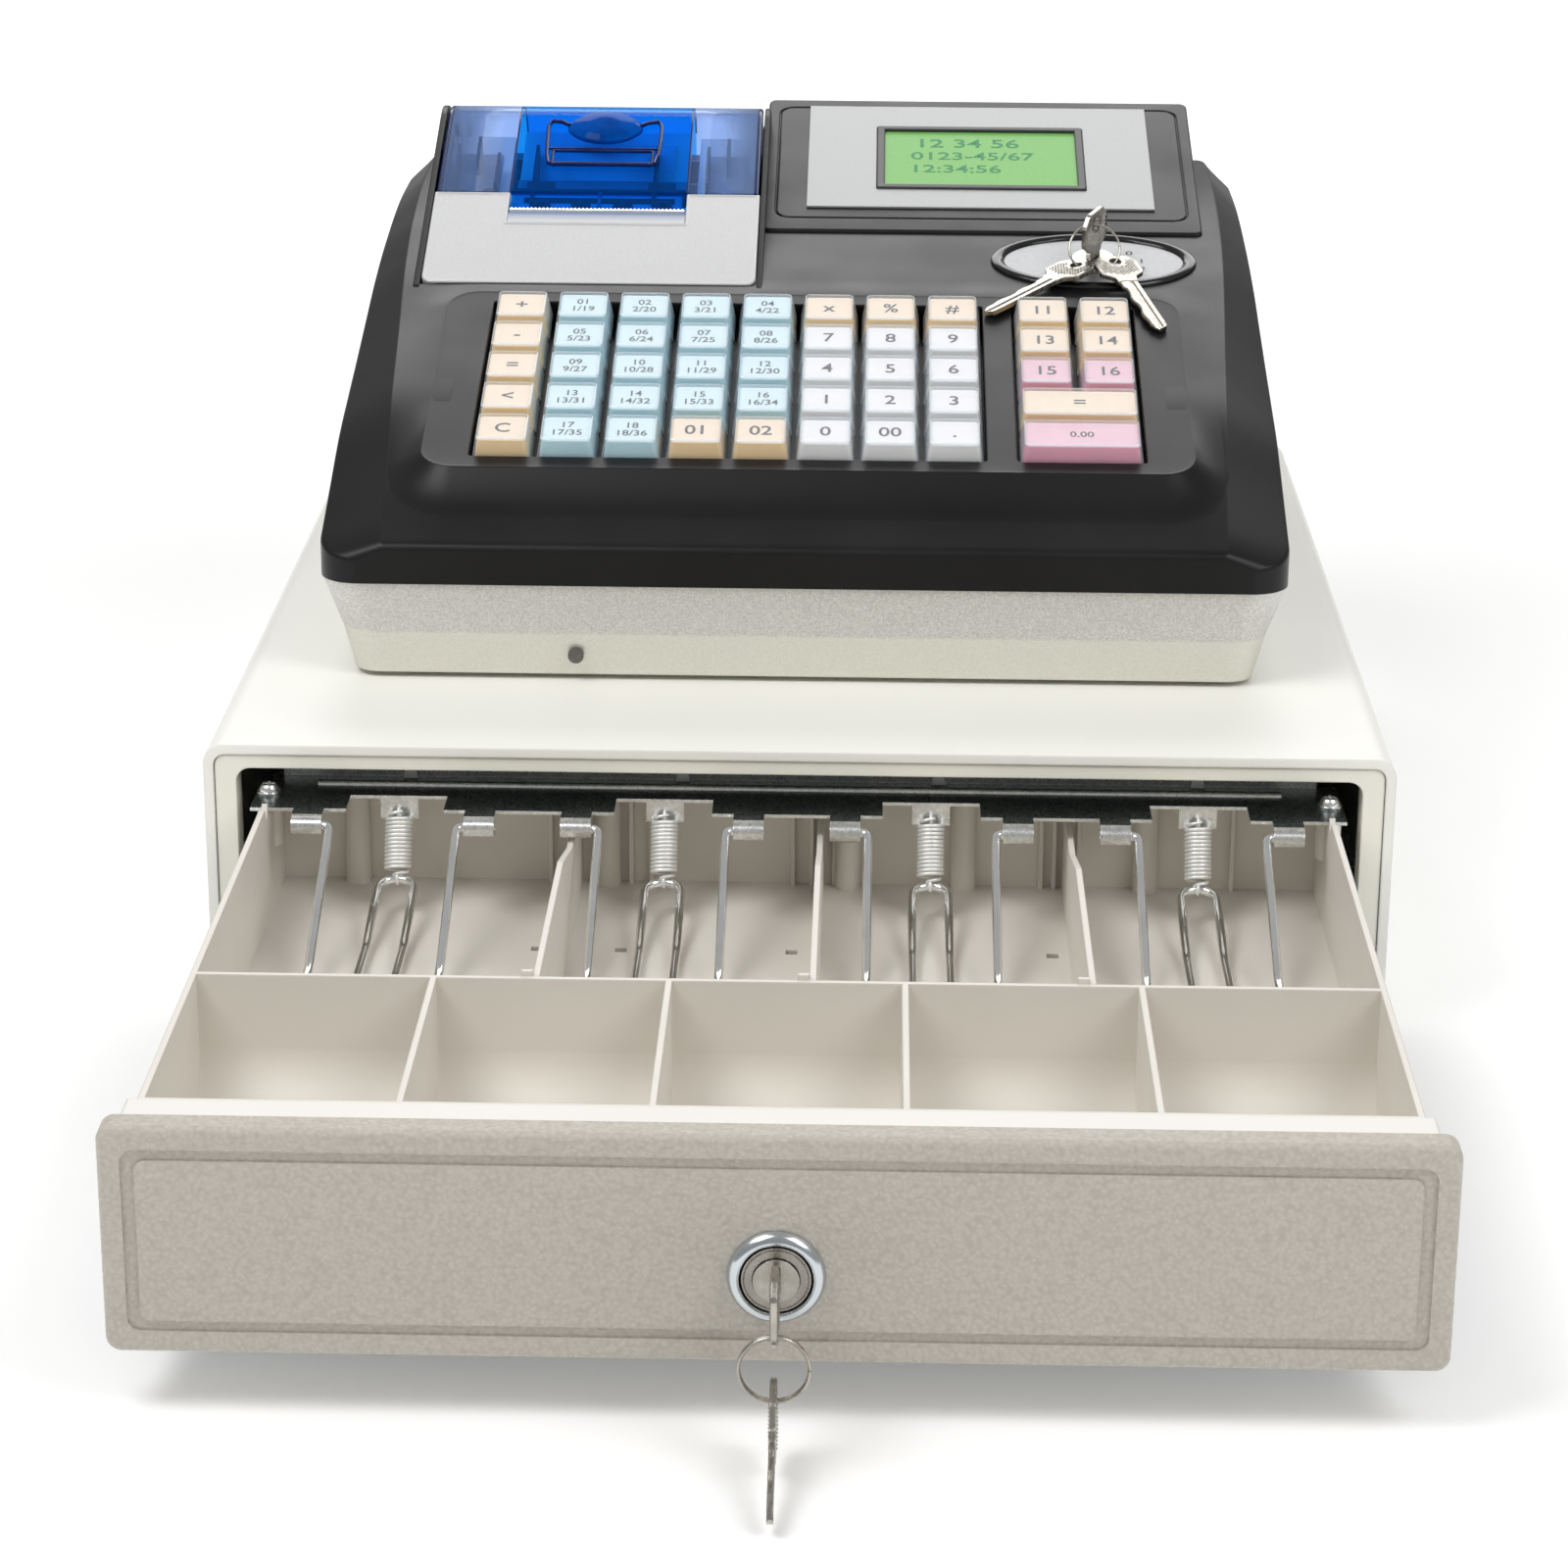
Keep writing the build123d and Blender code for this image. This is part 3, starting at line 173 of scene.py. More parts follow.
COATS = {
    "painted_steel": dict(tone=((0.93, 0.92, 0.86), 0.012, 9.0), gloss=(14.0, 2.0, 0.38, 0.47),
                          grain=(520.0, 3.0, 0.00006, 0.5), bevel=0.0012),
    "frame_plastic": dict(tone=((0.91, 0.89, 0.79), 0.015, 12.0), grain=(900.0, 3.0, 0.00005, 0.5), bevel=0.0008,
                          Roughness=0.5),
    "ledge_plastic": dict(tone=((0.78, 0.755, 0.71), 0.015, 12.0), grain=(900.0, 3.0, 0.00004, 0.4), bevel=0.0012,
                          Roughness=0.45),
    "bright_zinc": dict(tone=((0.80, 0.80, 0.785), 0.06, 260.0), gloss=(420.0, 3.0, 0.20, 0.33),
                        grain=(900.0, 3.0, 0.00001, 0.25), bevel=0.0003, Metallic=1.0),
    "spring_zinc": dict(tone=((0.92, 0.92, 0.90), 0.04, 260.0), gloss=(420.0, 3.0, 0.36, 0.46), Metallic=0.5),
    "screw_steel": dict(tone=((0.16, 0.155, 0.145), 0.1, 500.0), gloss=(600.0, 3.0, 0.26, 0.4), bevel=0.0003,
                        Metallic=1.0),
    "chrome": dict(tone=((0.94, 0.945, 0.95), 0.03, 90.0), gloss=(160.0, 3.0, 0.06, 0.14), bevel=0.0003,
                   Metallic=1.0),
    "satin_chrome": dict(tone=((0.60, 0.64, 0.67), 0.03, 90.0), gloss=(160.0, 3.0, 0.16, 0.24), bevel=0.0003,
                         Metallic=1.0),
    "black_shell": dict(tone=((0.005, 0.005, 0.0052), 0.15, 20.0), gloss=(30.0, 3.0, 0.33, 0.41),
                        grain=(2200.0, 3.0, 0.00004, 0.4), bevel=0.0007, Specular_IOR_Level=0.27),
    "gloss_black": dict(tone=((0.008, 0.008, 0.009), 0.2, 60.0), gloss=(80.0, 2.0, 0.08, 0.17), bevel=0.0009),
    "dark_plastic": dict(tone=((0.018, 0.018, 0.019), 0.2, 60.0), grain=(1500.0, 3.0, 0.00005, 0.5), bevel=0.0005,
                         Roughness=0.5),
    "rubber": dict(tone=((0.02, 0.02, 0.021), 0.25, 90.0), grain=(1800.0, 3.0, 0.00008, 0.6), bevel=0.0006,
                   Roughness=0.75),
    "thermal_paper": dict(tone=((0.84, 0.84, 0.83), 0.02, 300.0), grain=(2600.0, 4.0, 0.00004, 0.5), Roughness=0.7),
    "blue_edge": dict(tone=((0.002, 0.014, 0.10), 0.3, 90.0), bevel=0.0004, Roughness=0.05,
                      Specular_IOR_Level=0.25),
    "blue_lens": dict(tone=((0.0, 0.065, 0.36), 0.35, 55.0), Roughness=0.06, Specular_IOR_Level=0.05),
    "label_plate": dict(tone=((0.46, 0.465, 0.475), 0.04, 500.0), Roughness=0.42, Metallic=0.1),
    "key_print": dict(tone=((0.05, 0.05, 0.07), 0.12, 900.0), Roughness=0.6),
    "lcd_print": dict(tone=((0.05, 0.28, 0.11), 0.12, 900.0), Roughness=0.6),
}
BLOCK = dict(grain=(1600.0, 2.0, 0.00003, 0.4), Roughness=0.4)
LABEL = dict(grain=(2400.0, 3.0, 0.00002, 0.3), Roughness=0.55)
BLOCKS = {"bezel": (0.022, 0.022, 0.024), "mechanism_pale": (0.80, 0.82, 0.84),
          "mechanism_grey": (0.30, 0.32, 0.36), "mechanism_dark": (0.03, 0.03, 0.035)}
KEY_COLOURS = {
    "white": ((0.82, 0.80, 0.78), (0.82, 0.82, 0.84)),
    "blue": ((0.50, 0.74, 0.80), (0.64, 0.81, 0.875)),
    "amber": ((0.93, 0.66, 0.32), (0.88, 0.73, 0.58)),
    "rose": ((0.80, 0.32, 0.44), (0.80, 0.52, 0.61)),
}


def tray_plastic():
    """Moulded plastic: fine grain and faint flow marks up the walls."""
    s = Shader("tray_plastic")
    s.set("Base Color", s.vary((0.74, 0.705, 0.64), 0.02, 11.0))
    s.set("Roughness", s.remap(s.noise(35.0), 0.42, 0.56))
    grain = s.bump(s.noise(2600.0), 0.00004, 0.5, s.rounded(0.0007))
    flow = s.noise(1.0, 3.0, s.stretched((60.0, 60.0, 6.0)))
    s.set("Normal", s.bump(flow, 0.0002, 0.12, grain))
    return s.material


def grained_panel():
    """Moulded leather grain: irregular pebbles with fine noise between them."""
    s = Shader("grained_panel")
    warp = s.node("ShaderNodeTexNoise", Vector=s.coords, Scale=260.0, Detail=2.0).outputs["Color"]
    bent = s.node("ShaderNodeVectorMath", {"operation": "MULTIPLY_ADD"})
    s.tree.links.new(warp, bent.inputs[0])
    bent.inputs[1].default_value = (0.0014, 0.0014, 0.0014)
    s.tree.links.new(s.coords, bent.inputs[2])
    height = s.remap(s.cells(760.0, "SMOOTH_F1", bent.outputs[0]), 1.0, 0.0, 0.1, 0.75)
    s.set("Base Color", s.mixed(height, (0.449, 0.415, 0.362), (0.54, 0.505, 0.442)))
    s.set("Roughness", s.remap(height, 0.6, 0.44, 0.0, 1.0))
    s.set("Normal", s.bump(height, 0.00024, 0.95, s.bump(s.noise(2400.0), 0.00005, 0.3)))
    return s.material


def zinc_plate():
    """Galvanised sheet: faint crystals under a bluish passivation."""
    s = Shader("zinc_plate", Metallic=1.0)
    tone = s.flakes(300.0)
    s.set("Base Color", s.mixed(tone, (0.50, 0.525, 0.53), (0.62, 0.64, 0.635)))
    s.set("Roughness", s.remap(tone, 0.26, 0.36, 0.0, 1.0))
    s.set("Normal", s.bump(s.noise(700.0), 0.00001, 0.3, s.rounded(0.0004)))
    return s.material


def barred_zinc():
    """The clip bar: its flat top painted dark, bluish and speckled, a painted reflection of the dark housing
    interior; bright bare zinc elsewhere.
    """
    s = Shader("barred_zinc", Metallic=1.0)
    speckle = s.noise(1500.0, 4.0)
    # painted reflection: the dark speckled colour on the flat top stands in for the dark housing interior mirrored
    # in it
    dark = s.mixed(s.remap(speckle, 0.0, 1.0, 0.42, 0.62), (0.09, 0.11, 0.11), (0.24, 0.27, 0.265))
    bright = s.mixed(s.remap(s.noise(500.0, 4.0), 0.0, 1.0), (0.62, 0.63, 0.62), (0.84, 0.84, 0.82))
    normal = s.node("ShaderNodeNewGeometry").outputs["Normal"]
    level = s.remap(s.node("ShaderNodeSeparateXYZ", Vector=normal).outputs[2], 0.0, 1.0, 0.96, 0.99)
    # the mask picks the level flat top, where the painted reflection goes
    painted_reflection_mask = s.math("MULTIPLY", s.remap(s.height(), 0.0, 1.0, 0.08200, 0.08215), level)
    s.set("Base Color", s.mixed(painted_reflection_mask, bright, dark))
    s.set("Roughness", s.remap(speckle, 0.24, 0.38))
    s.set("Normal", s.bump(speckle, 0.00001, 0.25, s.rounded(0.0004)))
    return s.material


def worn_nickel(name, tone, marks_of, gloss, depth):
    """Nickel whose fine scratches or turning marks change both gloss and surface."""
    s = Shader(name, Metallic=1.0)
    s.set("Base Color", s.vary(*tone))
    marks = marks_of(s)
    s.set("Roughness", s.remap(marks, *gloss))
    s.set("Normal", s.bump(marks, depth, 0.3, s.rounded(0.0003)))
    return s.material


def nickel_key():
    tone = ((0.45, 0.43, 0.385), 0.10, 240.0)
    return worn_nickel("nickel_key", tone, lambda s: s.noise(1.0, 4.0, s.stretched((700.0, 700.0, 120.0))),
                       (0.20, 0.36), 0.000006)


def turned_nickel():
    tone = ((0.33, 0.31, 0.28), 0.06, 150.0)
    return worn_nickel("turned_nickel", tone, lambda s: s.noise(1200.0, 3.0), (0.2, 0.34), 0.000008)


def silver_paint():
    """Metallic paint with a fine flake; below the step in the lower case the colour is painted paler and warmer, a
    painted reflection of the bright floor and housing top.
    """
    s = Shader("silver_paint", Metallic=0.5)
    flake = s.flakes(2400.0)
    upper = s.mixed(flake, (0.515, 0.505, 0.48), (0.73, 0.72, 0.685))
    # painted reflection: the lower band's paler, warmer colour stands in for the bright floor and housing top
    # mirrored in it; the real paint is one colour
    lower = s.mixed(flake, (0.67, 0.66, 0.595), (0.75, 0.745, 0.67))
    # the step's height switches between the greyer upper band and the painted paler lower band
    s.set("Base Color", s.mixed(s.remap(s.height(), 0.0, 1.0, 0.1174, 0.1186), lower, upper))
    s.set("Roughness", s.remap(s.noise(60.0), 0.33, 0.41))
    s.set("Normal", s.bump(flake, 0.00002, 0.3, s.rounded(0.0009)))
    return s.material


def silver_panel():
    """Satin silver paint on the printer's front."""
    s = Shader("silver_panel", Metallic=0.3, Roughness=0.4)
    flake = s.flakes(3600.0)
    s.set("Base Color", s.mixed(flake, (0.55, 0.552, 0.557), (0.64, 0.64, 0.642)))
    s.set("Normal", s.bump(flake, 0.00002, 0.25))
    return s.material


def overlay_film():
    """Printed silver-grey film with a fine fleck."""
    s = Shader("overlay_film", Roughness=0.4, Metallic=0.25)
    fleck = s.noise(3500.0, 3.0)
    s.set("Base Color", s.mixed(s.remap(fleck, 0.0, 1.0), (0.345, 0.35, 0.355), (0.43, 0.43, 0.435)))
    s.set("Normal", s.bump(fleck, 0.00002, 0.3, s.rounded(0.0004)))
    return s.material


def circuit_board():
    s = Shader("circuit_board", Roughness=0.4)
    tracks = s.remap(s.cells(400.0), 0.0, 1.0, 0.2, 0.5)
    s.set("Base Color", s.mixed(tracks, (0.01, 0.09, 0.04), (0.02, 0.16, 0.07)))
    return s.material


def copper_coil():
    s = Shader("copper_coil", Metallic=1.0)
    turns = s.node("ShaderNodeTexWave", {"bands_direction": "X"}, Vector=s.coords, Scale=600.0).outputs["Fac"]
    s.set("Base Color", s.mixed(turns, (0.35, 0.13, 0.05), (0.75, 0.34, 0.17)))
    s.set("Roughness", s.remap(turns, 0.45, 0.25, 0.0, 1.0))
    s.set("Normal", s.bump(turns, 0.0002, 0.6))
    return s.material


def exit_ramp():
    """Silver that is painted darker and blue-grey up towards the paper exit: painted shade under the cover and a
    painted reflection of the blue cover.
    """
    s = Shader("exit_ramp", Roughness=0.45, Specular_IOR_Level=0.2)
    # painted shade and painted reflection: the blue-grey towards the exit stands in for the shade and the blue of
    # the cover above
    shade = s.remap(s.height(), 0.0, 1.0, 0.2236, 0.2256)
    s.set("Base Color", s.mixed(shade, (0.62, 0.625, 0.63), (0.16, 0.24, 0.42)))
    return s.material


def lcd_glow():
    """Lit green display with a fine dot grid."""
    s = Shader("lcd_glow", Roughness=0.3, Specular_IOR_Level=0.15, Emission_Strength=0.15)
    dots = s.remap(s.cells(1500.0), 0.0, 1.0, 0.1, 0.6)
    colour = s.mixed(dots, (0.14, 0.385, 0.082), (0.168, 0.43, 0.104))
    s.set("Base Color", colour)
    s.set("Emission Color", colour)
    return s.material


def blue_sheet(name, tint, body, solid):
    """Clear blue plastic: a tinted see-through share, and a body colour that grows towards grazing views."""
    s = Shader(name, IOR=1.49)
    s.set("Base Color", s.vary(body, 0.06, 25.0))
    s.set("Roughness", s.remap(s.noise(40.0), 0.04, 0.09))
    clear = s.node("ShaderNodeBsdfTransparent", Color=(*tint, 1.0)).outputs[0]
    edge = s.node("ShaderNodeLayerWeight", Blend=0.5).outputs["Facing"]
    both = s.node("ShaderNodeMixShader")
    s.tree.links.new(s.remap(edge, solid, 0.80, 0.45, 1.0), both.inputs[0])
    s.tree.links.new(clear, both.inputs[1])
    s.tree.links.new(s.bsdf.outputs[0], both.inputs[2])
    s.tree.links.new(both.outputs[0], s.tree.nodes["Material Output"].inputs["Surface"])
    return s.material


def cap_plastic(name, colour, face_on, edge_on):
    """Clear key cap with its opacity when seen face-on and edge-on."""
    s = Shader(name, Base_Color=colour, Roughness=0.06, IOR=1.49)
    edge = s.node("ShaderNodeLayerWeight", Blend=0.35).outputs["Facing"]
    s.set("Alpha", s.remap(edge, face_on, edge_on, 0.1, 0.95))
    return s.material


# tint of the see-through share, body colour, share of the body when seen face-on
BLUES = {"blue_cover": ((0.76, 0.84, 0.98), (0.24, 0.40, 0.80), 0.10),
         "blue_deep": ((0.10, 0.62, 0.965), (0.0, 0.20, 0.74), 0.08)}
CAPS = {"cap_wall": ((0.78, 0.86, 0.93), 0.14, 0.75), "cap_rim": ((0.80, 0.88, 0.95), 0.60, 0.85),
        "cap_top": ((0.85, 0.90, 0.95), 0.05, 0.35)}
OTHER_LOOKS = (tray_plastic, grained_panel, zinc_plate, barred_zinc, nickel_key, turned_nickel, silver_paint,
               silver_panel, overlay_film, circuit_board, copper_coil, exit_ramp, lcd_glow)

materials = {name: coat(name, **look) for name, look in COATS.items()}
materials |= {name: coat(name, (colour, 0.03, 70.0), **BLOCK) for name, colour in BLOCKS.items()}
for key_name, (block, label) in KEY_COLOURS.items():
    for part, tone, look in (("block", (block, 0.03, 70.0), BLOCK), ("label", (label, 0.02, 160.0), LABEL)):
        materials[f"key_{key_name}_{part}"] = coat(f"key_{key_name}_{part}", tone, **look)
materials |= {name: blue_sheet(name, *look) for name, look in BLUES.items()}
materials |= {name: cap_plastic(name, *look) for name, look in CAPS.items()}
materials |= {make.__name__: make() for make in OTHER_LOOKS}


# ------------------------------------------------------------------ CAD nodes that stay as they are

NODE_LOOKS = {
    "painted_steel": ["housing_shell"],
    "frame_plastic": ["front_frame"],
    "ledge_plastic": ["front_backing"],
    "tray_plastic": ["drawer_tray", "bill_dividers"],
    "grained_panel": ["front_panel"],
    "zinc_plate": ["base_plate", "outer_rails", "drawer_carrier", "inner_rails", "latch_hook"],
    "barred_zinc": ["clip_bar"],
    "bright_zinc": ["clip_bar_screws", "ejector_spring"],
    "screw_steel": ["base_screws"],
    "chrome": ["bill_clip_1", "bill_clip_2", "bill_clip_3", "bill_clip_4", "mode_barrel"],
    "nickel_key": ["lock_plug", "mode_plug"],
    "silver_paint": ["register_base"],
    "black_shell": ["keyboard_frame"],
    "dark_plastic": ["rear_ports"],
    "rubber": ["housing_feet", "platen_roller"],
    "overlay_film": ["display_overlay"],
    "circuit_board": ["circuit_boards"],
    "copper_coil": ["latch_solenoid"],
    "thermal_paper": ["paper_roll"],
}


def dress(node, material):
    slots = NODES[node].data.materials
    slots.clear()
    slots.append(material)


for look, nodes in NODE_LOOKS.items():
    for node in nodes:
        dress(node, materials[look])


# ------------------------------------------------------------------ mesh helpers; shapes are in millimetres

def piece(name, verts, faces, look, body, slot, sharp=40.0, bevel=0.0, face_looks=None):
    """A mesh object riding on a CAD body. Edges turning more than sharp degrees stay crisp or get a bevel."""
    mesh = bpy.data.meshes.new(name)
    mesh.from_pydata([tuple(c * MM for c in v) for v in verts], [], faces)
    mesh.validate()
    looks = look if isinstance(look, list) else [look]
    for one in looks:
        mesh.materials.append(materials[one])
    if face_looks:
        for polygon, index in zip(mesh.polygons, face_looks):
            polygon.material_index = index
    tidy = bmesh.new()
    tidy.from_mesh(mesh)
    bmesh.ops.remove_doubles(tidy, verts=tidy.verts, dist=1e-6)
    bmesh.ops.recalc_face_normals(tidy, faces=tidy.faces)
    tidy.to_mesh(mesh)
    tidy.free()
    mesh.shade_smooth()
    mesh.set_sharp_from_angle(angle=math.radians(sharp))
    made = bpy.data.objects.new(name, mesh)
    bpy.context.scene.collection.objects.link(made)
    if bevel:
        edge = made.modifiers.new("edges", "BEVEL")
        edge.width, edge.segments = bevel * MM, 2
        edge.limit_method, edge.angle_limit = "ANGLE", math.radians(sharp)
        edge.harden_normals = True
    made.modifiers.new("even_shading", "WEIGHTED_NORMAL").keep_sharp = True
    if body:
        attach(made, body)
    return made


class Builder:
    """Collects several closed shapes into one mesh."""

    def __init__(self):
        self.verts, self.faces, self.looks = [], [], []

    def add(self, verts, faces, look=0):
        start = len(self.verts)
        self.verts += [tuple(v) for v in verts]
        self.faces += [tuple(start + i for i in face) for face in faces]
        self.looks += list(look) if isinstance(look, (list, tuple)) else [look] * len(faces)

    def rings(self, rings, close_start=True, close_end=True, look=0, end_look=None, closed=True):
        """Skins a run of rings that all have the same number of points."""
        count = len(rings[0])
        verts = [p for ring in rings for p in ring]
        faces = []
        for r in range(len(rings) - 1):
            for i in range(count if closed else count - 1):
                j = (i + 1) % count
                faces.append((r * count + i, r * count + j, (r + 1) * count + j, (r + 1) * count + i))
        looks = [look] * len(faces)
        if close_start:
            faces.append(tuple(reversed(range(count))))
            looks.append(look)
        if close_end:
            faces.append(tuple((len(rings) - 1) * count + i for i in range(count)))
            looks.append(look if end_look is None else end_look)
        self.add(verts, faces, looks)

    def skin(self, rings, look=0, closed=True):
        """Rings with both ends left open."""
        self.rings(rings, close_start=False, close_end=False, look=look, closed=closed)

    def make(self, name, look, body, slot, **options):
        return piece(name, self.verts, self.faces, look, body, slot, face_looks=self.looks, **options)


def arc(cx, cy, radius, start, end, steps):
    """Points on a circle between two angles in degrees, both ends included."""
    angles = [math.radians(start + (end - start) * i / steps) for i in range(steps + 1)]
    return [(cx + radius * math.cos(a), cy + radius * math.sin(a)) for a in angles]


def rounded_rectangle(x0, x1, y0, y1, radius, steps=6):
    """Closed outline, anticlockwise from the right of the lower edge."""
    r = radius
    return (arc(x1 - r, y0 + r, r, -90, 0, steps) + arc(x1 - r, y1 - r, r, 0, 90, steps)
            + arc(x0 + r, y1 - r, r, 90, 180, steps) + arc(x0 + r, y0 + r, r, 180, 270, steps))


def ellipse(cx, cy, a, b, steps=72):
    turns = [2 * math.pi * i / steps for i in range(steps)]
    return [(cx + a * math.cos(turn), cy + b * math.sin(turn)) for turn in turns]


def circle(cx, cy, radius, steps=48):
    return ellipse(cx, cy, radius, radius, steps)


def pierced(loops):
    """Flat (points, triangles) inside the first closed outline and outside the others."""
    flat = bmesh.new()
    for loop in loops:
        points = [flat.verts.new((x, y, 0)) for x, y in loop]
        for a, b in zip(points, points[1:] + points[:1]):
            flat.edges.new((a, b))
    bmesh.ops.triangle_fill(flat, use_beauty=True, edges=flat.edges[:])
    flat.verts.index_update()
    points = [(p.co.x, p.co.y) for p in flat.verts]
    triangles = [tuple(corner.index for corner in f.verts) for f in flat.faces]
    flat.free()
    return points, triangles


def filleted(points, radii, closed=False, steps=5):
    """A polyline whose corners are arcs of steps + 1 points; a radius of 0 leaves a corner as it is."""
    made = []
    count = len(points)
    for i, (point, radius) in enumerate(zip(points, radii)):
        if radius == 0 or (not closed and i in (0, count - 1)):
            made.append(tuple(point))
            continue
        here = Vector(point)
        before = Vector(points[i - 1]) - here
        after = Vector(points[(i + 1) % count]) - here
        half = before.angle(after) / 2
        if half > math.radians(89.7):
            made += [tuple(point)] * (steps + 1)
            continue
        reach = min(radius / math.tan(half), 0.48 * before.length, 0.48 * after.length)
        r = reach * math.tan(half)
        axis = (before.normalized() + after.normalized()).normalized()
        centre = here + axis * (r / math.sin(half))
        a, b = here + before.normalized() * reach - centre, here + after.normalized() * reach - centre
        for step in range(steps + 1):
            t = step / steps
            sweep = a.angle(b)
            if sweep < 1e-6:
                made.append(tuple(centre + a))
                continue
            mixed = (a * math.sin((1 - t) * sweep) + b * math.sin(t * sweep)) / math.sin(sweep)
            made.append(tuple(centre + mixed))
    return made


class Slope:
    """A face that rises towards the back: x is the row's x, s runs up the face, w stands off it."""

    def __init__(self, y, z, tilt, x=0.0):
        self.x, self.y, self.z = x, y, z
        self.cos, self.sin = math.cos(math.radians(tilt)), math.sin(math.radians(tilt))

    def at(self, x, s, w=0.0):
        return (self.x + x, self.y + s * self.cos - w * self.sin, self.z + s * self.sin + w * self.cos)

    def ring(self, outline, w):
        return [self.at(x, s, w) for x, s in outline]


def tube(path, radius, sides=12):
    """Round wire along 3-D points, its rings turned as little as possible between points."""
    points = [Vector(p) for p in path]
    normal = None
    rings = []
    for i, point in enumerate(points):
        ahead = (points[min(i + 1, len(points) - 1)] - points[max(i - 1, 0)]).normalized()
        if normal is None:
            normal = ahead.orthogonal().normalized()
        normal = (normal - ahead * normal.dot(ahead)).normalized()
        side = ahead.cross(normal)
        rings.append([tuple(point + normal * a + side * b) for a, b in circle(0, 0, radius, sides)])
    return rings


def lathe(profile, place, steps=72):
    """Rings of a turned shape; profile is (radius, height) pairs and place(a, b, height) puts a point."""
    return [[place(a, b, h) for a, b in circle(0, 0, r, steps)] for r, h in profile]


def lettering(text, size, stretch=1.0):
    """Flat outlines of plain digits or symbols, centred on the origin, as (verts, faces)."""
    curve = bpy.data.curves.new("lettering", "FONT")
    curve.body = text
    curve.size = size
    curve.align_x = curve.align_y = "CENTER"
    curve.resolution_u = 3
    curve.offset = 0.012 * size
    holder = bpy.data.objects.new("lettering", curve)
    bpy.context.scene.collection.objects.link(holder)
    mesh = bpy.data.meshes.new_from_object(holder)
    verts = [(v.co.x * stretch, v.co.y) for v in mesh.vertices]
    faces = [tuple(p.vertices) for p in mesh.polygons]
    bpy.data.objects.remove(holder)
    bpy.data.meshes.remove(mesh)
    bpy.data.curves.remove(curve)
    return verts, faces


def smooth_value(stations, y):
    """Value at y on a smooth curve through (y, value) stations."""
    ys = [s[0] for s in stations]
    if y <= ys[0]:
        return stations[0][1]
    if y >= ys[-1]:
        return stations[-1][1]
    i = next(k for k in range(len(ys) - 1) if ys[k] <= y <= ys[k + 1])

    def slope(k):
        lo, hi = max(k - 1, 0), min(k + 1, len(ys) - 1)
        return (stations[hi][1] - stations[lo][1]) / (ys[hi] - ys[lo])

    h = ys[i + 1] - ys[i]
    t = (y - ys[i]) / h
    a, b = stations[i][1], stations[i + 1][1]
    return ((2 * t ** 3 - 3 * t ** 2 + 1) * a + (t ** 3 - 2 * t ** 2 + t) * h * slope(i)
            + (-2 * t ** 3 + 3 * t ** 2) * b + (t ** 3 - t ** 2) * h * slope(i + 1))


# ------------------------------------------------------------------ black upper shell

JOINT_Z = 136.5
SHELL_HALF_W = 171.5
SHELL_FRONT, SHELL_BACK = -139.4, 196.0
PLAN_RADIUS = 14.0
# y, half-width of the flat deck, deck height, height of the outer edge
DECK = (
    (-136.0, 149.0, 152.0, 146.6), (-99.0, 150.3, 169.0, 160.5), (-67.0, 152.2, 182.5, 172.5),
    (-38.0, 153.8, 190.5, 180.0), (-9.0, 155.4, 197.6, 187.2), (21.0, 157.2, 205.3, 195.0),
    (52.0, 158.8, 212.5, 203.0), (90.0, 160.2, 219.5, 210.0), (141.0, 161.2, 225.0, 216.0),
    (196.0, 161.5, 226.0, 216.8),
)
LIP_DROP = ((-139.4, 1.9), (-139.15, 1.1), (-138.7, 0.5), (-138.1, 0.15), (-137.4, 0.0))
KEYS = Slope(-46.5, 194.6, 15.5)
KEY_PITCH = 23.25
COLUMNS = [-28.1 + (i - 3.5) * KEY_PITCH for i in range(8)] + [87.3, 110.55]
FIELD_W = -6.0
WELL_W = -14.6
WELL_MARGIN = 11.8
POD = Slope(79.0, 218.9, 15.5)
POD_X = (-21.0, 153.0)
POD_DEPTH = 118.3
PRINTER = Slope(28.5, 208.0, 21.0)
PRINTER_X = (-151.0, -22.0)
# openings in the deck, as (left, right, front, back)
BAY = (-151.3, -21.7, 28.1, 183.0)
FIELD_CUT = (-131.0, 131.0, -107.0, 14.0)
COVER_BEND, COVER_R = 122.0, 26.0


def plan_half_width(y):
    """Half-width of the shell's plan at y, narrower in its rounded corners."""
    into = max(SHELL_FRONT + PLAN_RADIUS - y, y - (SHELL_BACK - PLAN_RADIUS), 0.0)
    return SHELL_HALF_W - PLAN_RADIUS + math.sqrt(max(PLAN_RADIUS ** 2 - into ** 2, 0.0))


def deck_at(y):
    """Flat half-width, deck height, edge height and plan half-width at y."""
    flat, top, edge = (smooth_value([(s[0], s[k]) for s in DECK], y) for k in (1, 2, 3))
    if y < DECK[0][0]:
        run = (DECK[1][2] - DECK[0][2]) / (DECK[1][0] - DECK[0][0])
        top = DECK[0][2] + (y - DECK[0][0]) * run
        edge = DECK[0][3] + (y - DECK[0][0]) * run * 0.6
        flat = DECK[0][1] + (y - DECK[0][0]) * 0.25
    drop = np.interp(y, [d[0] for d in LIP_DROP], [d[1] for d in LIP_DROP])
    return flat, top - drop, edge - drop * 0.7, plan_half_width(y)


def deck_height(x, y):
    flat, top, edge, half = deck_at(y)
    shoulder = top - 0.35
    fall = (top - edge) * 3 / (half - flat)
    return float(np.interp(abs(x), [flat - 3, flat, flat + 3, half], [top, shoulder, shoulder - fall, edge]))


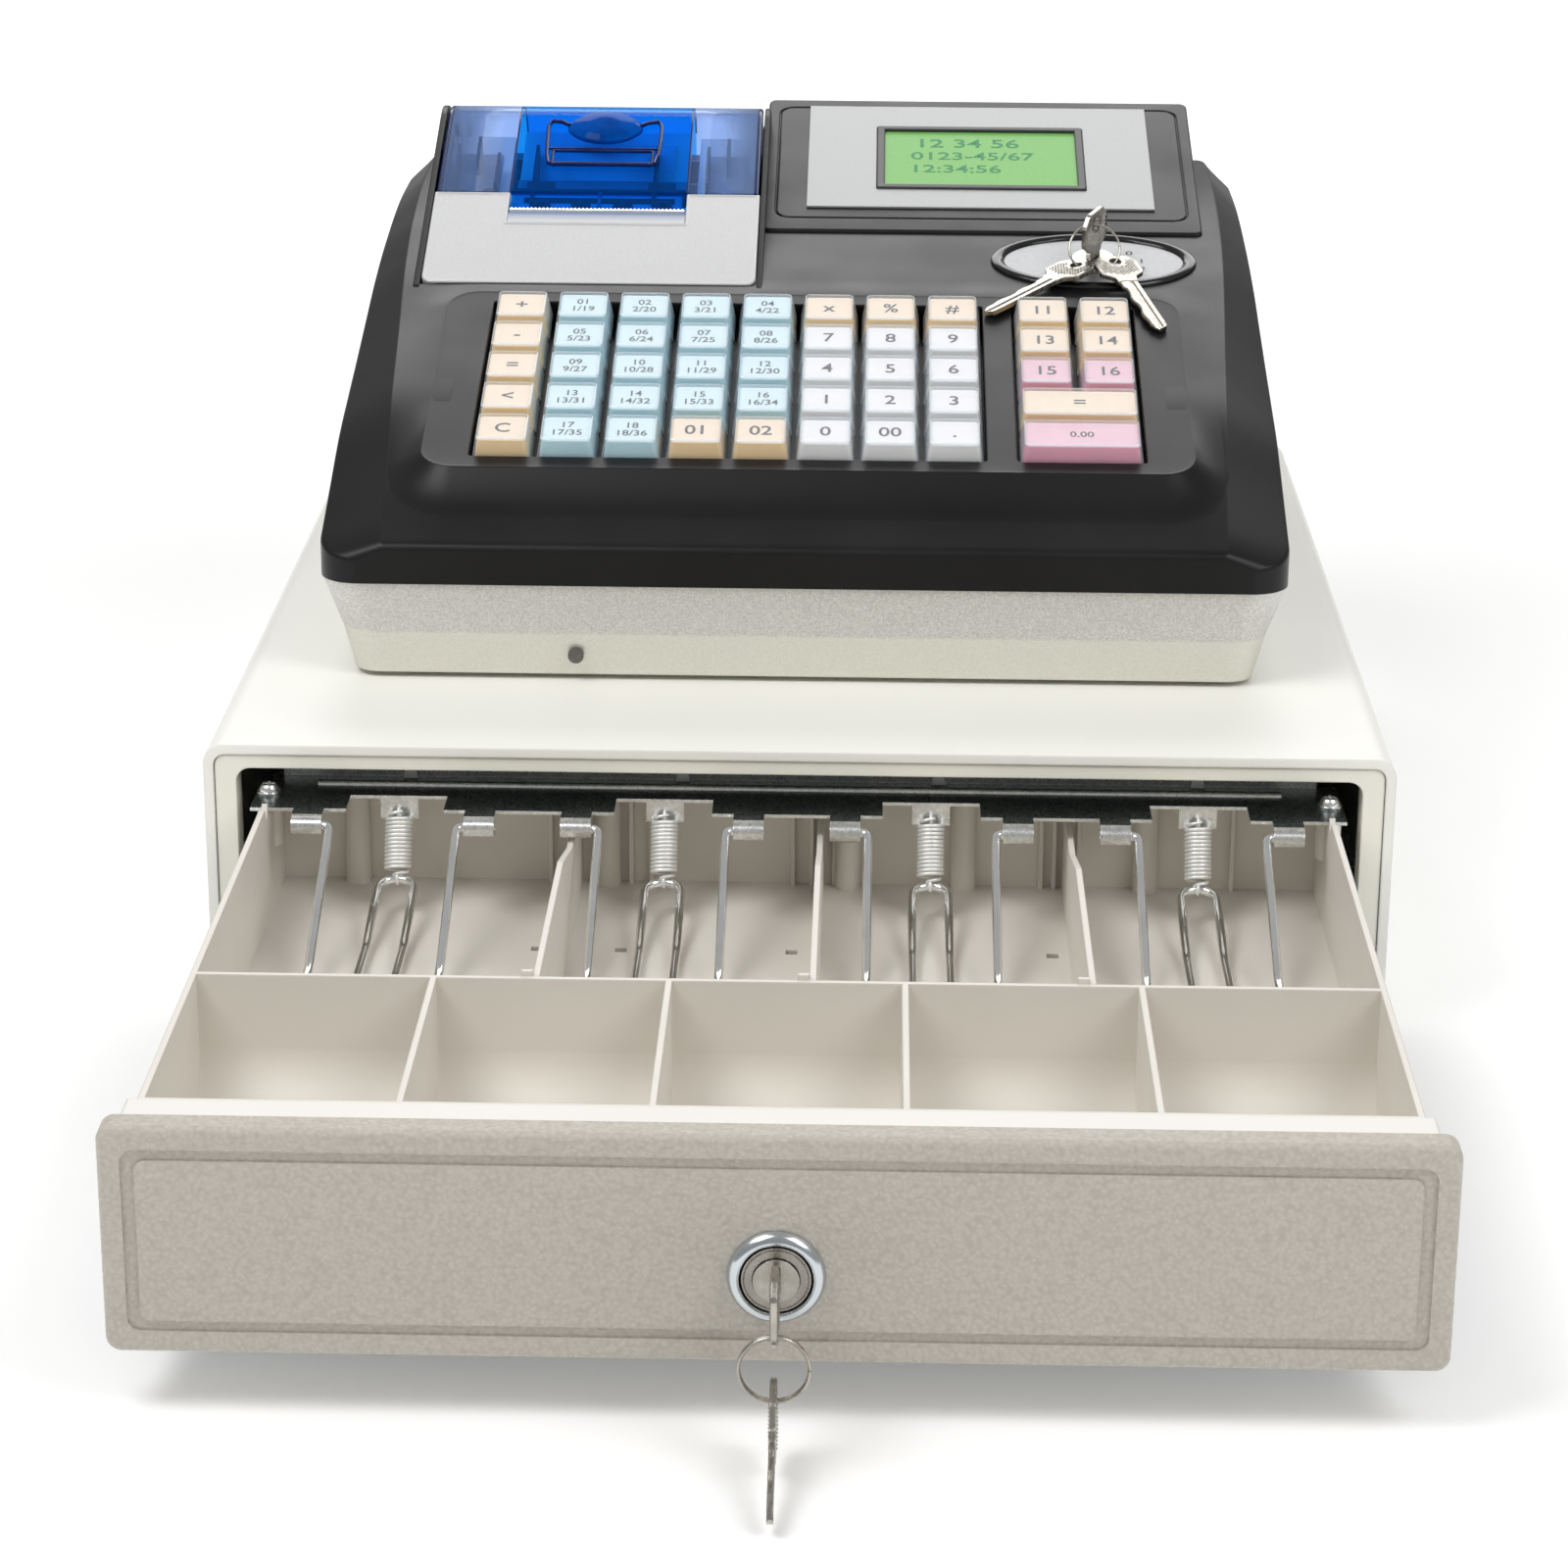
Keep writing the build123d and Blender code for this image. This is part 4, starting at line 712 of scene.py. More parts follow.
def deck_row(y):
    flat, top, edge, half = deck_at(y)
    corners = filleted([(half, JOINT_Z), (half, edge), (flat, top), (0, top)], [0, 1.8, 2.0, 0], steps=4)
    right = corners[:-1]
    inner = [min(x, flat - 3.5) for x in (-BAY[0], 139.0, FIELD_CUT[1])] + [100.0, 60.0, -BAY[1], 10.0]
    half_row = right + [(x, top) for x in inner]
    return [(-x, y, z) for x, z in half_row] + [(0.0, y, top)] + [(x, y, z) for x, z in reversed(half_row)]


def deck_rows():
    angles = [math.radians(a) for a in range(0, 91, 9)]
    front = [SHELL_FRONT + PLAN_RADIUS * (1 - math.cos(a)) for a in angles]
    back = [SHELL_BACK - PLAN_RADIUS * (1 - math.cos(a)) for a in reversed(angles)]
    cut_front, cut_back = FIELD_CUT[2:]
    middle = [-121.0, -116.0, -111.5] + [cut_front + (cut_back - cut_front) * i / 20 for i in range(21)]
    middle += [21.0, BAY[2]] + [34.0 + 4.9 * i for i in range(30)] + [179.0]
    return front + [y for y in middle if front[-1] < y < back[0]] + back


def inside(opening, x, y):
    left, right, front, back = opening
    return left < x < right and front < y < back


def top_shell():
    made = Builder()
    ys = deck_rows()
    rows = [deck_row(y) for y in ys]
    count = len(rows[0])
    verts = [p for row in rows for p in row]
    faces = []
    for r in range(len(rows) - 1):
        middle_y = (ys[r] + ys[r + 1]) / 2
        for i in range(count - 1):
            middle_x = (rows[r][i][0] + rows[r][i + 1][0]) / 2
            if not any(inside(opening, middle_x, middle_y) for opening in (BAY, FIELD_CUT)):
                faces.append((r * count + i, r * count + i + 1, (r + 1) * count + i + 1, (r + 1) * count + i))
    made.add(verts, faces)
    made.add(rows[0], [tuple(range(count))])
    made.add(rows[-1], [tuple(reversed(range(count)))])
    bay_ring = [(BAY[0], BAY[2]), (BAY[1], BAY[2]), (BAY[1], BAY[3]), (BAY[0], BAY[3])]
    rings = [[(x, y, deck_at(y)[1] - down) for x, y in bay_ring] for down in (0.0, 40.0)]
    made.skin(rings)
    shell = made.make("top_shell", "black_shell", "register", "black_plastic", sharp=48.0)
    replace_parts(shell, "register_top")
    return shell


def key_field():
    """Raised field round the keys: flat rim, crisp edge and a hollow skirt that runs out into the deck."""
    made = Builder()
    centre_x, half_x, half_s, corner, skirt = 0.5, 139.0, 66.0, 12.0, 17.0

    def outline(grow):
        reach_x, reach_s = half_x + grow, half_s + grow
        return rounded_rectangle(centre_x - reach_x, centre_x + reach_x, -reach_s, reach_s, corner + grow, 10)

    def dense(points):
        """More points along the straight edges, so that the skirt follows the deck."""
        result = []
        for (ax, ay), (bx, by) in zip(points, points[1:] + points[:1]):
            parts = 24 if math.hypot(bx - ax, by - ay) > 40 else 1
            result += [(ax + (bx - ax) * k / parts, ay + (by - ay) * k / parts) for k in range(parts)]
        return result

    rings = []
    for t in [i / 16 for i in range(16, -1, -1)]:
        ring = []
        for x, s in dense(outline(skirt * t)):
            _, y, z_plane = KEYS.at(x, s, FIELD_W)
            z_deck = deck_height(x, y)
            rise = max(z_plane - z_deck, 0.05)
            ring.append((x, y, z_deck - 0.06 * (t == 1) + rise * (1 - t) ** 2.3))
        rings.append(ring)
    for inset, w in ((0.25, 0.12), (0.8, 0.08), (1.6, 0.0)):
        rings.append(KEYS.ring(dense(outline(-inset)), FIELD_W + w))
    made.skin(rings)
    v = 2 * KEY_PITCH + WELL_MARGIN
    wells = [(COLUMNS[a] - WELL_MARGIN, COLUMNS[b] + WELL_MARGIN) for a, b in ((0, 7), (8, 9))]
    rims = [rounded_rectangle(a, b, -v, v, 1.5, 3) for a, b in wells]
    points, triangles = pierced([dense(outline(-1.6))] + rims)
    made.add(KEYS.ring(points, FIELD_W), triangles)
    for (a, b), rim in zip(wells, rims):
        wall = rounded_rectangle(a + 0.3, b - 0.3, -v + 0.3, v - 0.3, 1.3, 3)
        made.skin([KEYS.ring(rim, FIELD_W), KEYS.ring(wall, FIELD_W - 0.4), KEYS.ring(wall, WELL_W)])
    return made.make("key_field", "black_shell", "register", "black_plastic", sharp=28.0)


def display_pod():
    """Raised display housing with the groove pressed round its face."""
    made = Builder()
    x0, x1 = POD_X

    def ring(inset, w, radius):
        return POD.ring(rounded_rectangle(x0 + inset, x1 - inset, inset, POD_DEPTH - inset, radius, 5), w)

    top = ring(0.0, -1.3, 3.0)
    rings = [[(x, y, min(z - 0.5, 206.0)) for x, y, z in top], top]
    rings += [ring(0.2, -0.6, 2.8), ring(0.7, -0.15, 2.4), ring(1.4, 0.0, 2.0)]

    def groove(outset, w):
        x0, x1, s0, s1 = -16.0 - outset, 147.8 + outset, 10.9 - outset, 110.5 + outset
        return POD.ring(rounded_rectangle(x0, x1, s0, s1, 6.0 + outset, 5), w)

    groove_profile = ((0.7, 0.0), (0.5, -0.2), (0.15, -0.7), (-0.15, -0.7), (-0.5, -0.2), (-0.7, 0.0))
    rings += [groove(outset, w) for outset, w in groove_profile]
    made.rings(rings, close_start=False)
    return made.make("display_pod", "black_shell", "register", "black_plastic", sharp=35.0)


COVER_TILT = 21.0
COVER_START = 64.5
COVER_X = (PRINTER_X[0] + 0.4, PRINTER_X[1] - 0.4)
TEAR_X = (-121.0, -51.0)


def cover_at(x, s, w=0.0):
    """Point over the cover's outer face: s runs up the slope and on round the rolled back, w stands off it."""
    if s <= COVER_BEND:
        return PRINTER.at(x, s, w)
    turn = math.radians(90 + COVER_TILT) - (s - COVER_BEND) / COVER_R
    _, y, z = PRINTER.at(x, COVER_BEND, -COVER_R)
    return (x, y + (COVER_R + w) * math.cos(turn), z + (COVER_R + w) * math.sin(turn))


COVER_END = COVER_BEND + COVER_R * math.radians(90 + COVER_TILT)


def cover_outline(offset, start):
    """Side view of the cover's outer face, moved in by offset: slope, roll and back end."""
    stations = [start] + [COVER_BEND + (COVER_END - COVER_BEND) * i / 18 for i in range(19)]
    return [cover_at(0, s, -offset)[1:] for s in stations]


def printer_cheeks():
    made = Builder()
    for x0, x1 in ((-153.8, -151.3), (-21.7, -19.5)):
        profile = cover_outline(0.0, -3.0)
        loop = [(profile[0][0], 200.0)] + profile + [(profile[-1][0], 200.0)]
        made.rings([[(x, y, z) for y, z in loop] for x in (x0, x1)])
    return made.make("printer_cheeks", "black_shell", "register", "black_plastic", sharp=35.0, bevel=0.5)


# ------------------------------------------------------------------ keys

CAP_RINGS = ((0.0, -10.5, 1.7), (1.75, -0.75, 1.5), (1.95, -0.3, 1.4), (2.3, 0.0, 1.2))
CORE_RINGS = ((0.9, -10.3, 1.3), (2.2, -1.6, 1.2), (2.5, -1.35, 1.1))
CAP_LOOKS = ["cap_wall", "cap_rim", "cap_top"]
KEY_WIDTH = 21.8


def key_looks(colour):
    return [f"key_{colour}_block", f"key_{colour}_label", "key_print"]


def add_key(caps, cores, x, row, text, width=KEY_WIDTH):
    """One key: a clear cap over a coloured block whose top is the pale label."""
    s = (2 - row) * KEY_PITCH
    half_w, half_d = width / 2, KEY_WIDTH / 2

    def ring(inset, w, radius):
        x0, x1, s0, s1 = x - half_w + inset, x + half_w - inset, s - half_d + inset, s + half_d - inset
        return KEYS.ring(rounded_rectangle(x0, x1, s0, s1, radius, 4), w)

    wall, *rim = [ring(*r) for r in CAP_RINGS]
    caps.skin([wall, rim[0]])
    caps.rings(rim, close_start=False, look=1, end_look=2)
    low, high = s - half_d + 0.1, s - half_d + 1.0
    tab = [(x - 3.0, low), (x + 3.0, low), (x + 3.0, high), (x - 3.0, high)]
    caps.rings([KEYS.ring(tab, -10.9), KEYS.ring(tab, -9.4)], look=1)
    cores.rings([ring(*r) for r in CORE_RINGS], look=0, end_look=1)
    size = 5.4 if len(text) > 3 else 9.0 if len(text) < 3 else 7.0
    verts, faces = lettering(text, size, 0.95)
    cores.add([KEYS.at(x + a, s + b + 0.3, -1.28) for a, b in verts], faces, 2)


def place_keys(node, entries, colour, width=KEY_WIDTH):
    """Caps and cores of one moving node; entries are (centre x, row, text)."""
    caps, cores = Builder(), Builder()
    for x, row, text in entries:
        add_key(caps, cores, x, row, text, width)
    core = cores.make(node + "_blocks", key_looks(colour), node, slot_of(node), sharp=30.0)
    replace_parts(core, node)
    caps.make(node + "_caps", CAP_LOOKS, node, slot_of(node), sharp=20.0)


def slot_of(node):
    return next(part["material_slot"] for part in frame["record"]["subparts"] if part["node"] == node)


def keyboard():
    digits = {"7": (5, 1), "8": (6, 1), "9": (7, 1), "4": (5, 2), "5": (6, 2), "6": (7, 2),
              "1": (5, 3), "2": (6, 3), "3": (7, 3), "0": (5, 4), "00": (6, 4), "point": (7, 4)}
    for name, (column, row) in digits.items():
        place_keys(f"key_{name}", [(COLUMNS[column], row, "." if name == "point" else name)], "white")
    places = [(column, row) for row in range(4) for column in range(1, 5)] + [(1, 4), (2, 4)]
    departments = [(COLUMNS[c], r, f"{n:02d}\n{n}/{n + 18}") for n, (c, r) in enumerate(places, 1)]
    place_keys("department_keys", departments, "blue")

    amber = [(0, 0, "+"), (0, 1, "-"), (0, 2, "="), (0, 3, "<"), (0, 4, "C"),
             (5, 0, "x"), (6, 0, "%"), (7, 0, "#"), (3, 4, "01"), (4, 4, "02"),
             (8, 0, "11"), (9, 0, "12"), (8, 1, "13"), (9, 1, "14")]
    rose = [(8, 2, "15"), (9, 2, "16")]
    caps, amber_cores, rose_cores = Builder(), Builder(), Builder()
    for cores, entries in ((amber_cores, amber), (rose_cores, rose)):
        for column, row, text in entries:
            add_key(caps, cores, COLUMNS[column], row, text)
    node = "function_keys"
    core = amber_cores.make("function_keys_blocks", key_looks("amber"), node, "key_cream", sharp=30.0)
    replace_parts(core, node)
    rose_cores.make("function_keys_rose_blocks", key_looks("rose"), node, "key_pink", sharp=30.0)
    caps.make("function_keys_caps", CAP_LOOKS, node, "key_cream", sharp=20.0)

    middle = (COLUMNS[8] + COLUMNS[9]) / 2
    for node, row, text, colour in (("total_key", 3, "=", "amber"), ("cash_key", 4, "0.00", "rose")):
        place_keys(node, [(middle, row, text)], colour, KEY_WIDTH + KEY_PITCH)


# ------------------------------------------------------------------ display

def display():
    made = Builder()
    x0, x1, s0, s1 = 24.2, 108.3, 35.1, 90.8
    bezel = ((0, 0.0, 0.8), (0, 1.2, 0.8), (0.4, 1.6, 0.8), (2.7, 1.6, 0.6), (3.1, 1.3, 0.5), (3.2, 0.25, 0.5))
    rings = [POD.ring(rounded_rectangle(x0 + i, x1 - i, s0 + i, s1 - i, r, 3), w) for i, w, r in bezel]
    made.skin(rings)
    glass = POD.ring(rounded_rectangle(x0 + 2.9, x1 - 2.9, s0 + 2.9, s1 - 2.9, 0.5, 3), 0.3)
    made.add(glass, [tuple(range(len(glass)))], 1)
    lines = (("12 34 56", 61.0, 77.0, 10.5), ("0123-45/67", 63.0, 65.5, 9.5), ("12:34:56", 56.0, 54.0, 9.5))
    for text, x, s, size in lines:
        verts, faces = lettering(text, size, 1.15)
        made.add([POD.at(x + a, s + b, 0.36) for a, b in verts], faces, 2)
    screen = made.make("display_screen", ["bezel", "lcd_glow", "lcd_print"], "register", "lcd", sharp=30.0)
    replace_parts(screen, "lcd_module")


# ------------------------------------------------------------------ printer

def slope_box(made, x0, x1, s0, s1, w0, w1, look=0):
    loop = [(x0, s0), (x1, s0), (x1, s1), (x0, s1)]
    made.rings([PRINTER.ring(loop, w0), PRINTER.ring(loop, w1)], look=look)


def printer_front():
    """Silver panel with a raised rim, and a notch whose floor curves down to the tear strip."""
    made = Builder()
    x0, x1 = PRINTER_X
    notch_s = 42.5

    def outline(inset):
        left, right = TEAR_X[0] - inset, TEAR_X[1] + inset
        top, low = 64.0 - inset, notch_s - inset
        points = [(x0 + inset, inset), (x1 - inset, inset), (x1 - inset, top), (right, top), (right, low),
                  (left, low), (left, top), (x0 + inset, top)]
        return filleted(points, [4.0, 4.0, 0.5, 0.5, 0.6, 0.6, 0.5, 0.5], closed=True, steps=5)

    rim = ((0.0, -2.4), (0.0, -0.5), (0.15, -0.15), (0.5, 0.0), (1.0, 0.0), (1.35, -0.25))
    made.rings([PRINTER.ring(outline(inset), w) for inset, w in rim])
    ramp = [(42.4, -0.05), (45.0, -0.12), (47.5, -0.35), (49.5, -0.7), (51.0, -1.2), (53.0, -2.0),
            (53.0, -4.0), (42.4, -4.0)]
    made.rings([[PRINTER.at(x, s, w) for s, w in ramp] for x in (TEAR_X[0] + 0.1, TEAR_X[1] - 0.1)], look=1)
    looks = ["silver_panel", "exit_ramp"]
    panel = made.make("printer_front_panel", looks, "register", "silver_plastic", sharp=50.0)
    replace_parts(panel, "printer_panel")


def tear_strip():
    """Bright saw-toothed strip above the ramp."""
    made = Builder()
    teeth = 44
    x0, x1 = TEAR_X[0] + 0.5, TEAR_X[1] - 0.5
    stations = [x0 + (x1 - x0) * i / (2 * teeth) for i in range(2 * teeth + 1)]
    low = [(x, 50.9) for x in stations]
    middle = [(x, 51.5) for x in stations]
    tips = [(x, 51.9 + 1.4 * (i % 2)) for i, x in enumerate(stations)]
    section = ((low, -1.4), (low, -0.3), (middle, -0.05), (tips, -0.1), (tips, -0.3), (low, -1.4))
    rows = [PRINTER.ring(line, w) for line, w in section]
    made.skin(rows, closed=False)
    made.make("tear_strip", "chrome", "register", "chrome", sharp=25.0)


def printer_inside():
    """Print mechanism seen through the cover: bridge plate, screws, side frames and the paper cradle."""
    made = Builder()
    xc = (TEAR_X[0] + TEAR_X[1]) / 2
    slope_box(made, -122, -50, 52.5, 70.5, -14, -5.2)
    slope_box(made, -122, -50, 71.3, 72.5, -14, -3.6, 1)
    slope_box(made, xc - 0.7, xc + 0.7, 57, 76, -5.2, -4.4, 2)
    slope_box(made, -120, -52, 72.5, 88, -20, -9.5, 2)
    slope_box(made, -120, -52, 88, 132, -22, -14, 0)
    for x in (-109.0, -60.6):
        disc, hole = circle(x, 62.0, 3.9, 24), circle(x, 62.0, 1.7, 24)
        washer = ((disc, -5.2), (disc, -4.2), (hole, -4.2), (hole, -5.1))
        made.rings([PRINTER.ring(loop, w) for loop, w in washer], look=1)
        slope_box(made, x - 4.6, x - 3.2, 62, 105, -14, -3.4, 1)
        slope_box(made, x - 6.5, x + 4.5, 73, 80, -14, -5.0, 1)
    for x in (-93.2, -76.5):
        for half_x, half_s in ((3.9, 1.0), (1.0, 4.2)):
            slope_box(made, x - half_x, x + half_x, 62.0 - half_s, 62.0 + half_s, -5.3, -4.4, 1)
    for x in (xc - 36, xc + 34):
        corners = [(62, 190), (112, 190), (112, 226), (94, 226.5), (72, 216)]
        loop = filleted(corners, [0.5, 0.5, 3, 3, 2], closed=True)
        made.rings([[(px, y, z) for y, z in loop] for px in (x, x + 2)], look=1)
    for x0, x1 in ((-149, -124), (-48, -24)):
        slope_box(made, x0, x1, 66, 128, -30, -14, 0)
        slope_box(made, x0 + 4, x1 - 4, 84, 112, -14, -12.5, 2)
        for x, s0, s1 in ((x0 + 3.5, 78, 106), (x0 + 11.5, 96, 112), (x1 - 5.0, 76, 100)):
            slope_box(made, x, x + 1.3, s0, s1, -13, -4.0, 1)
        for x, s, radius in ((x0 + 7, 74, 4.0), (x1 - 7, 76, 3.2), (x1 - 12, 70, 2.6)):
            disc = circle(x, s, radius, 24)
            made.rings([PRINTER.ring(disc, -14), PRINTER.ring(disc, -8)], look=1)
    cradle = arc(140, 220, 24.5, 180, 360, 20) + arc(140, 220, 22.3, 360, 180, 20)
    made.rings([[(x, y, z) for y, z in cradle] for x in (xc - 37, xc + 37)], look=2)
    looks = ["mechanism_pale", "mechanism_dark", "mechanism_grey"]
    inside = made.make("printer_inside", looks, "register", "black_plastic", sharp=40.0)
    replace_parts(inside, "printer_mechanism")


def cover_lid():
    """Clear blue cover: sloping face with a tongue over the paper exit, rolled back and thin side walls."""
    made = Builder()
    x0, x1 = COVER_X
    wall, skirt = 2.0, 7.0
    outer, inner = cover_outline(0.0, COVER_START), cover_outline(wall, COVER_START)
    for low, high, look in ((x0 + wall, TEAR_X[0], 0), (TEAR_X[0], TEAR_X[1], 1), (TEAR_X[1], x1 - wall, 0)):
        sections = [[(x, y, z) for y, z in outer + inner[::-1]] for x in (low, high)]
        made.skin(sections, look=look)
    deep = cover_outline(skirt, COVER_START)
    for face, back in ((x0, x0 + wall), (x1, x1 - wall)):
        step = (back - face) / wall
        rounding = ((face, 1.2), (face + 0.35 * step, 0.35), (face + 1.2 * step, 0.0), (back, 0.0))
        made.rings([[(x, y, z) for y, z in cover_outline(inset, COVER_START) + deep[::-1]]
                    for x, inset in rounding], look=2)
    tongue = filleted([(-120.4, 64.5), (-120.4, 52.0), (-51.6, 52.0), (-51.6, 64.5)], [0, 1.0, 1.0, 0])
    made.rings([PRINTER.ring(tongue, w) for w in (-1.6, -0.4)], look=1)
    rib = ((-0.35, -0.1), (0.35, -0.1), (0.35, 0.12), (-0.35, 0.12))
    stations = np.linspace(COVER_START, COVER_END - 12, 14)
    for x in TEAR_X:
        made.rings([[cover_at(x + dx, s, w) for dx, w in rib] for s in stations], look=2)
    looks = ["blue_cover", "blue_deep", "blue_edge"]
    lid = made.make("cover_lid", looks, "printer_cover", "cover_blue", sharp=40.0)
    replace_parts(lid, "printer_cover")


def cover_thumb_piece():
    """Cut lens to lift the cover by, in a raised loop with a slot below it."""
    lens = Builder()
    xc = (TEAR_X[0] + TEAR_X[1]) / 2
    centre_s, half_x, half_s, points = 112.5, 15.2, 11.0, 40

    def outline(scale):
        ring = []
        for k in range(points):
            a = 2 * math.pi * k / points
            pointed = math.copysign(abs(math.sin(a)) ** 1.25, math.sin(a))
            ring.append((xc + scale * half_x * math.cos(a), centre_s + scale * half_s * pointed))
        return ring

    levels = ((1.0, -0.8), (1.0, 0.5), (0.97, 1.0), (0.80, 2.6), (0.56, 3.1), (0.3, 3.25))
    lens.rings([[cover_at(x, s, w) for x, s in outline(scale)] for scale, w in levels])
    lens.make("cover_lens", "blue_lens", "printer_cover", "cover_blue", sharp=12.0)
    loop = Builder()
    for side in (-1, 1):
        path = [(14.6, 112.5, 1.4), (17.5, 115.0, 1.3), (21.5, 116.0, 1.1), (23.0, 112.0, 1.1),
                (22.8, 100.0, 1.1), (22.3, 90.0, 1.1), (21.5, 84.5, 1.1), (19.0, 83.0, 1.1)]
        loop.rings(tube([cover_at(xc + side * x, s, w) for x, s, w in path], 0.85, 8))
    loop.rings(tube([cover_at(xc + x, 83.5, 1.0) for x in np.linspace(-20, 20, 5)], 0.8, 8))
    loop.rings(tube([cover_at(xc + x, 96.0, 0.5) for x in np.linspace(-22, 22, 5)], 0.5, 8))
    slot = [(-20.0, 85.5), (20.0, 85.5), (20.0, 94.6), (-20.0, 94.6)]
    corners = [(xc + x, s) for x, s in slot]
    for (ax, as_), (bx, bs) in zip(corners, corners[1:] + corners[:1]):
        loop.rings(tube([cover_at(ax, as_, 0.3), cover_at(bx, bs, 0.3)], 0.65, 8))
    loop.make("cover_loop", "blue_edge", "printer_cover", "cover_blue", sharp=40.0)


# ------------------------------------------------------------------ mode lock

MODE = Slope(51.0, 212.3, 13.0, 108.5)
MODE_KEY_TURN = -30.0
MODE_KEY_SEAT = 3.3
MODE_RING_LEAN = 45.0
SMALL_BOW = 0.85


def mode_oval():
    """Glossy oval ring round a printed plate with position numbers, both pierced by the lock."""
    made = Builder()
    centre = (0.3, 2.0)
    ring = ((40.0, 24.0, -1.2), (40.0, 24.0, 0.4), (39.6, 23.6, 1.2), (38.6, 22.7, 1.7), (37.0, 21.3, 1.75),
            (35.8, 20.2, 1.3), (35.1, 19.6, 0.6), (35.0, 19.5, -0.4))
    plate = ((34.9, 19.4, -0.6), (34.7, 19.2, 0.35), (34.2, 18.8, 0.45))
    ring, plate = ([MODE.ring(ellipse(*centre, a, b), w) for a, b, w in profile] for profile in (ring, plate))
    hole = [MODE.ring(circle(0, 0, r, 72), w) for r, w in ((8.3, 0.45), (8.2, -0.6))]
    made.skin(ring)
    made.skin(plate + hole, look=1)
    for text, x, s in (("0", 14.5, 9.5), ("1", 19.0, 2.5), ("2", 19.0, -4.5), ("3", 13.5, -10.0)):
        verts, faces = lettering(text, 5.0, 1.2)
        made.add([MODE.at(x + a, s + b, 0.5) for a, b in verts], faces, 2)
    looks = ["gloss_black", "label_plate", "key_print"]
    oval = made.make("mode_oval", looks, "register", slot_of("mode_label"), sharp=35.0)
    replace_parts(oval, "mode_label")


# ------------------------------------------------------------------ keys for the locks, split rings

KEY_HALF = 3.6
PANEL_Y = -498.0
LOCK_Z = 45.5
KEY_SEAT_Y = PANEL_Y - 5.6
RING_R = 9.75


def turned(origin, x_axis, normal):
    """Frame whose x runs along the key's blade and whose z stands on its flat side."""
    x = Vector(x_axis).normalized()
    z = (Vector(normal) - x * Vector(normal).dot(x)).normalized()
    return Matrix.Translation(Vector(origin)) @ Matrix((x, z.cross(x), z)).transposed().to_4x4()


def key_blade(made, place, length):
    """Milled blade from x = 0, with bitting along its lower edge and a groove down both sides."""
    depths = (2.6, 3.3, 2.2, 3.0, 2.4)
    step = length / (len(depths) + 1)
    lows = [(-0.5, -KEY_HALF), (step * 0.6, -KEY_HALF)]
    for index, depth in enumerate(depths):
        lows += [(step * (index + 0.9), -depth), (step * (index + 1.4), -depth)]
    stations = [(x, low, KEY_HALF) for x, low in lows]
    stations += [(length - 1.6, -1.4, 3.2), (length, -0.2, 0.4)]
    sections = []
    for x, low, high in stations:
        a, b = min(0.3, high * 0.2), min(1.7, high * 0.6)
        side = [(low, 0.5), (low + 0.5, 0.9), (a, 0.9), (a + 0.2, 0.45), (b, 0.45), (b + 0.15, 0.9),
                (high, 0.9)]
        across = [(y, -z) for y, z in side] + side[::-1]
        sections.append([tuple(place @ Vector((x, y, z))) for y, z in across])
    made.rings(sections)


def lock_key(made, place, blade_len, hole, bow=1.0):
    """Key in its own plane, blade along +x from 0: bow with a rim, a hole and cross-hatched pads."""
    def flat(points, z):
        return [tuple(place @ Vector((x, y, z))) for x, y in points]

    half = [(0, -KEY_HALF), (0.3, -4.8), (-4, -5.2), (-8, -10.4), (-18, -10.4), (-23, -6.5)]
    radii = [0.4, 0.6, 2.5, 3, 3, 3]
    outline = filleted(half + [(x, -y) for x, y in reversed(half)], radii + radii[::-1], closed=True)
    outline = [(x * bow, y * bow) for x, y in outline]
    middle_x = -12.5 * bow

    def shrunk(k):
        return [(middle_x + (x - middle_x) * k, y * k) for x, y in outline]

    levels = ((0.97, -1.0), (1.0, -0.8), (1.0, 0.8), (0.97, 1.0))
    made.skin([flat(shrunk(k), z) for k, z in levels])
    ring = circle(*hole, 2.4, 20)
    points, triangles = pierced([shrunk(0.97), ring])
    for z in (-1.0, 1.0):
        made.add(flat(points, z), triangles)
    made.skin([flat(ring, -1.0), flat(ring, 1.0)])
    key_blade(made, place, blade_len)

    half_pitch, foot, peak = 0.75, 0.62, 0.2
    for z in (-1.0, 1.0):
        for i in range(-12, 1):
            for j in range(-8, 9):
                x, y = middle_x + (i - j) * half_pitch + 6 * bow, (i + j + 6) * half_pitch
                near_hole = math.hypot(x - hole[0], y - hole[1]) < 4.0
                on_pad = abs(y) <= 8.2 * bow and -19.5 * bow < x < -6.5 * bow - abs(y) * 0.3
                if on_pad and not near_hole:
                    base, top = ([(x - r, y), (x, y - r), (x + r, y), (x, y + r)] for r in (foot, peak))
                    made.rings([flat(base, z * 0.98), flat(top, z * 1.32)], close_start=False)


def split_ring(made, centre, normal, radius=RING_R, wire=0.55):
    """Two turns of spring wire lying against each other."""
    frame_of_ring = turned(centre, Vector(normal).orthogonal(), normal)
    turns, steps = 1.9, 96
    path = []
    for i in range(steps + 1):
        a = 2 * math.pi * turns * i / steps
        lift = (min(max((a / math.pi - 1.4) / 0.9, 0.0), 1.0) - 0.5) * 2 * wire
        path.append(frame_of_ring @ Vector((radius * math.cos(a + 0.8), radius * math.sin(a + 0.8), lift)))
    made.rings(tube(path, wire, 10))


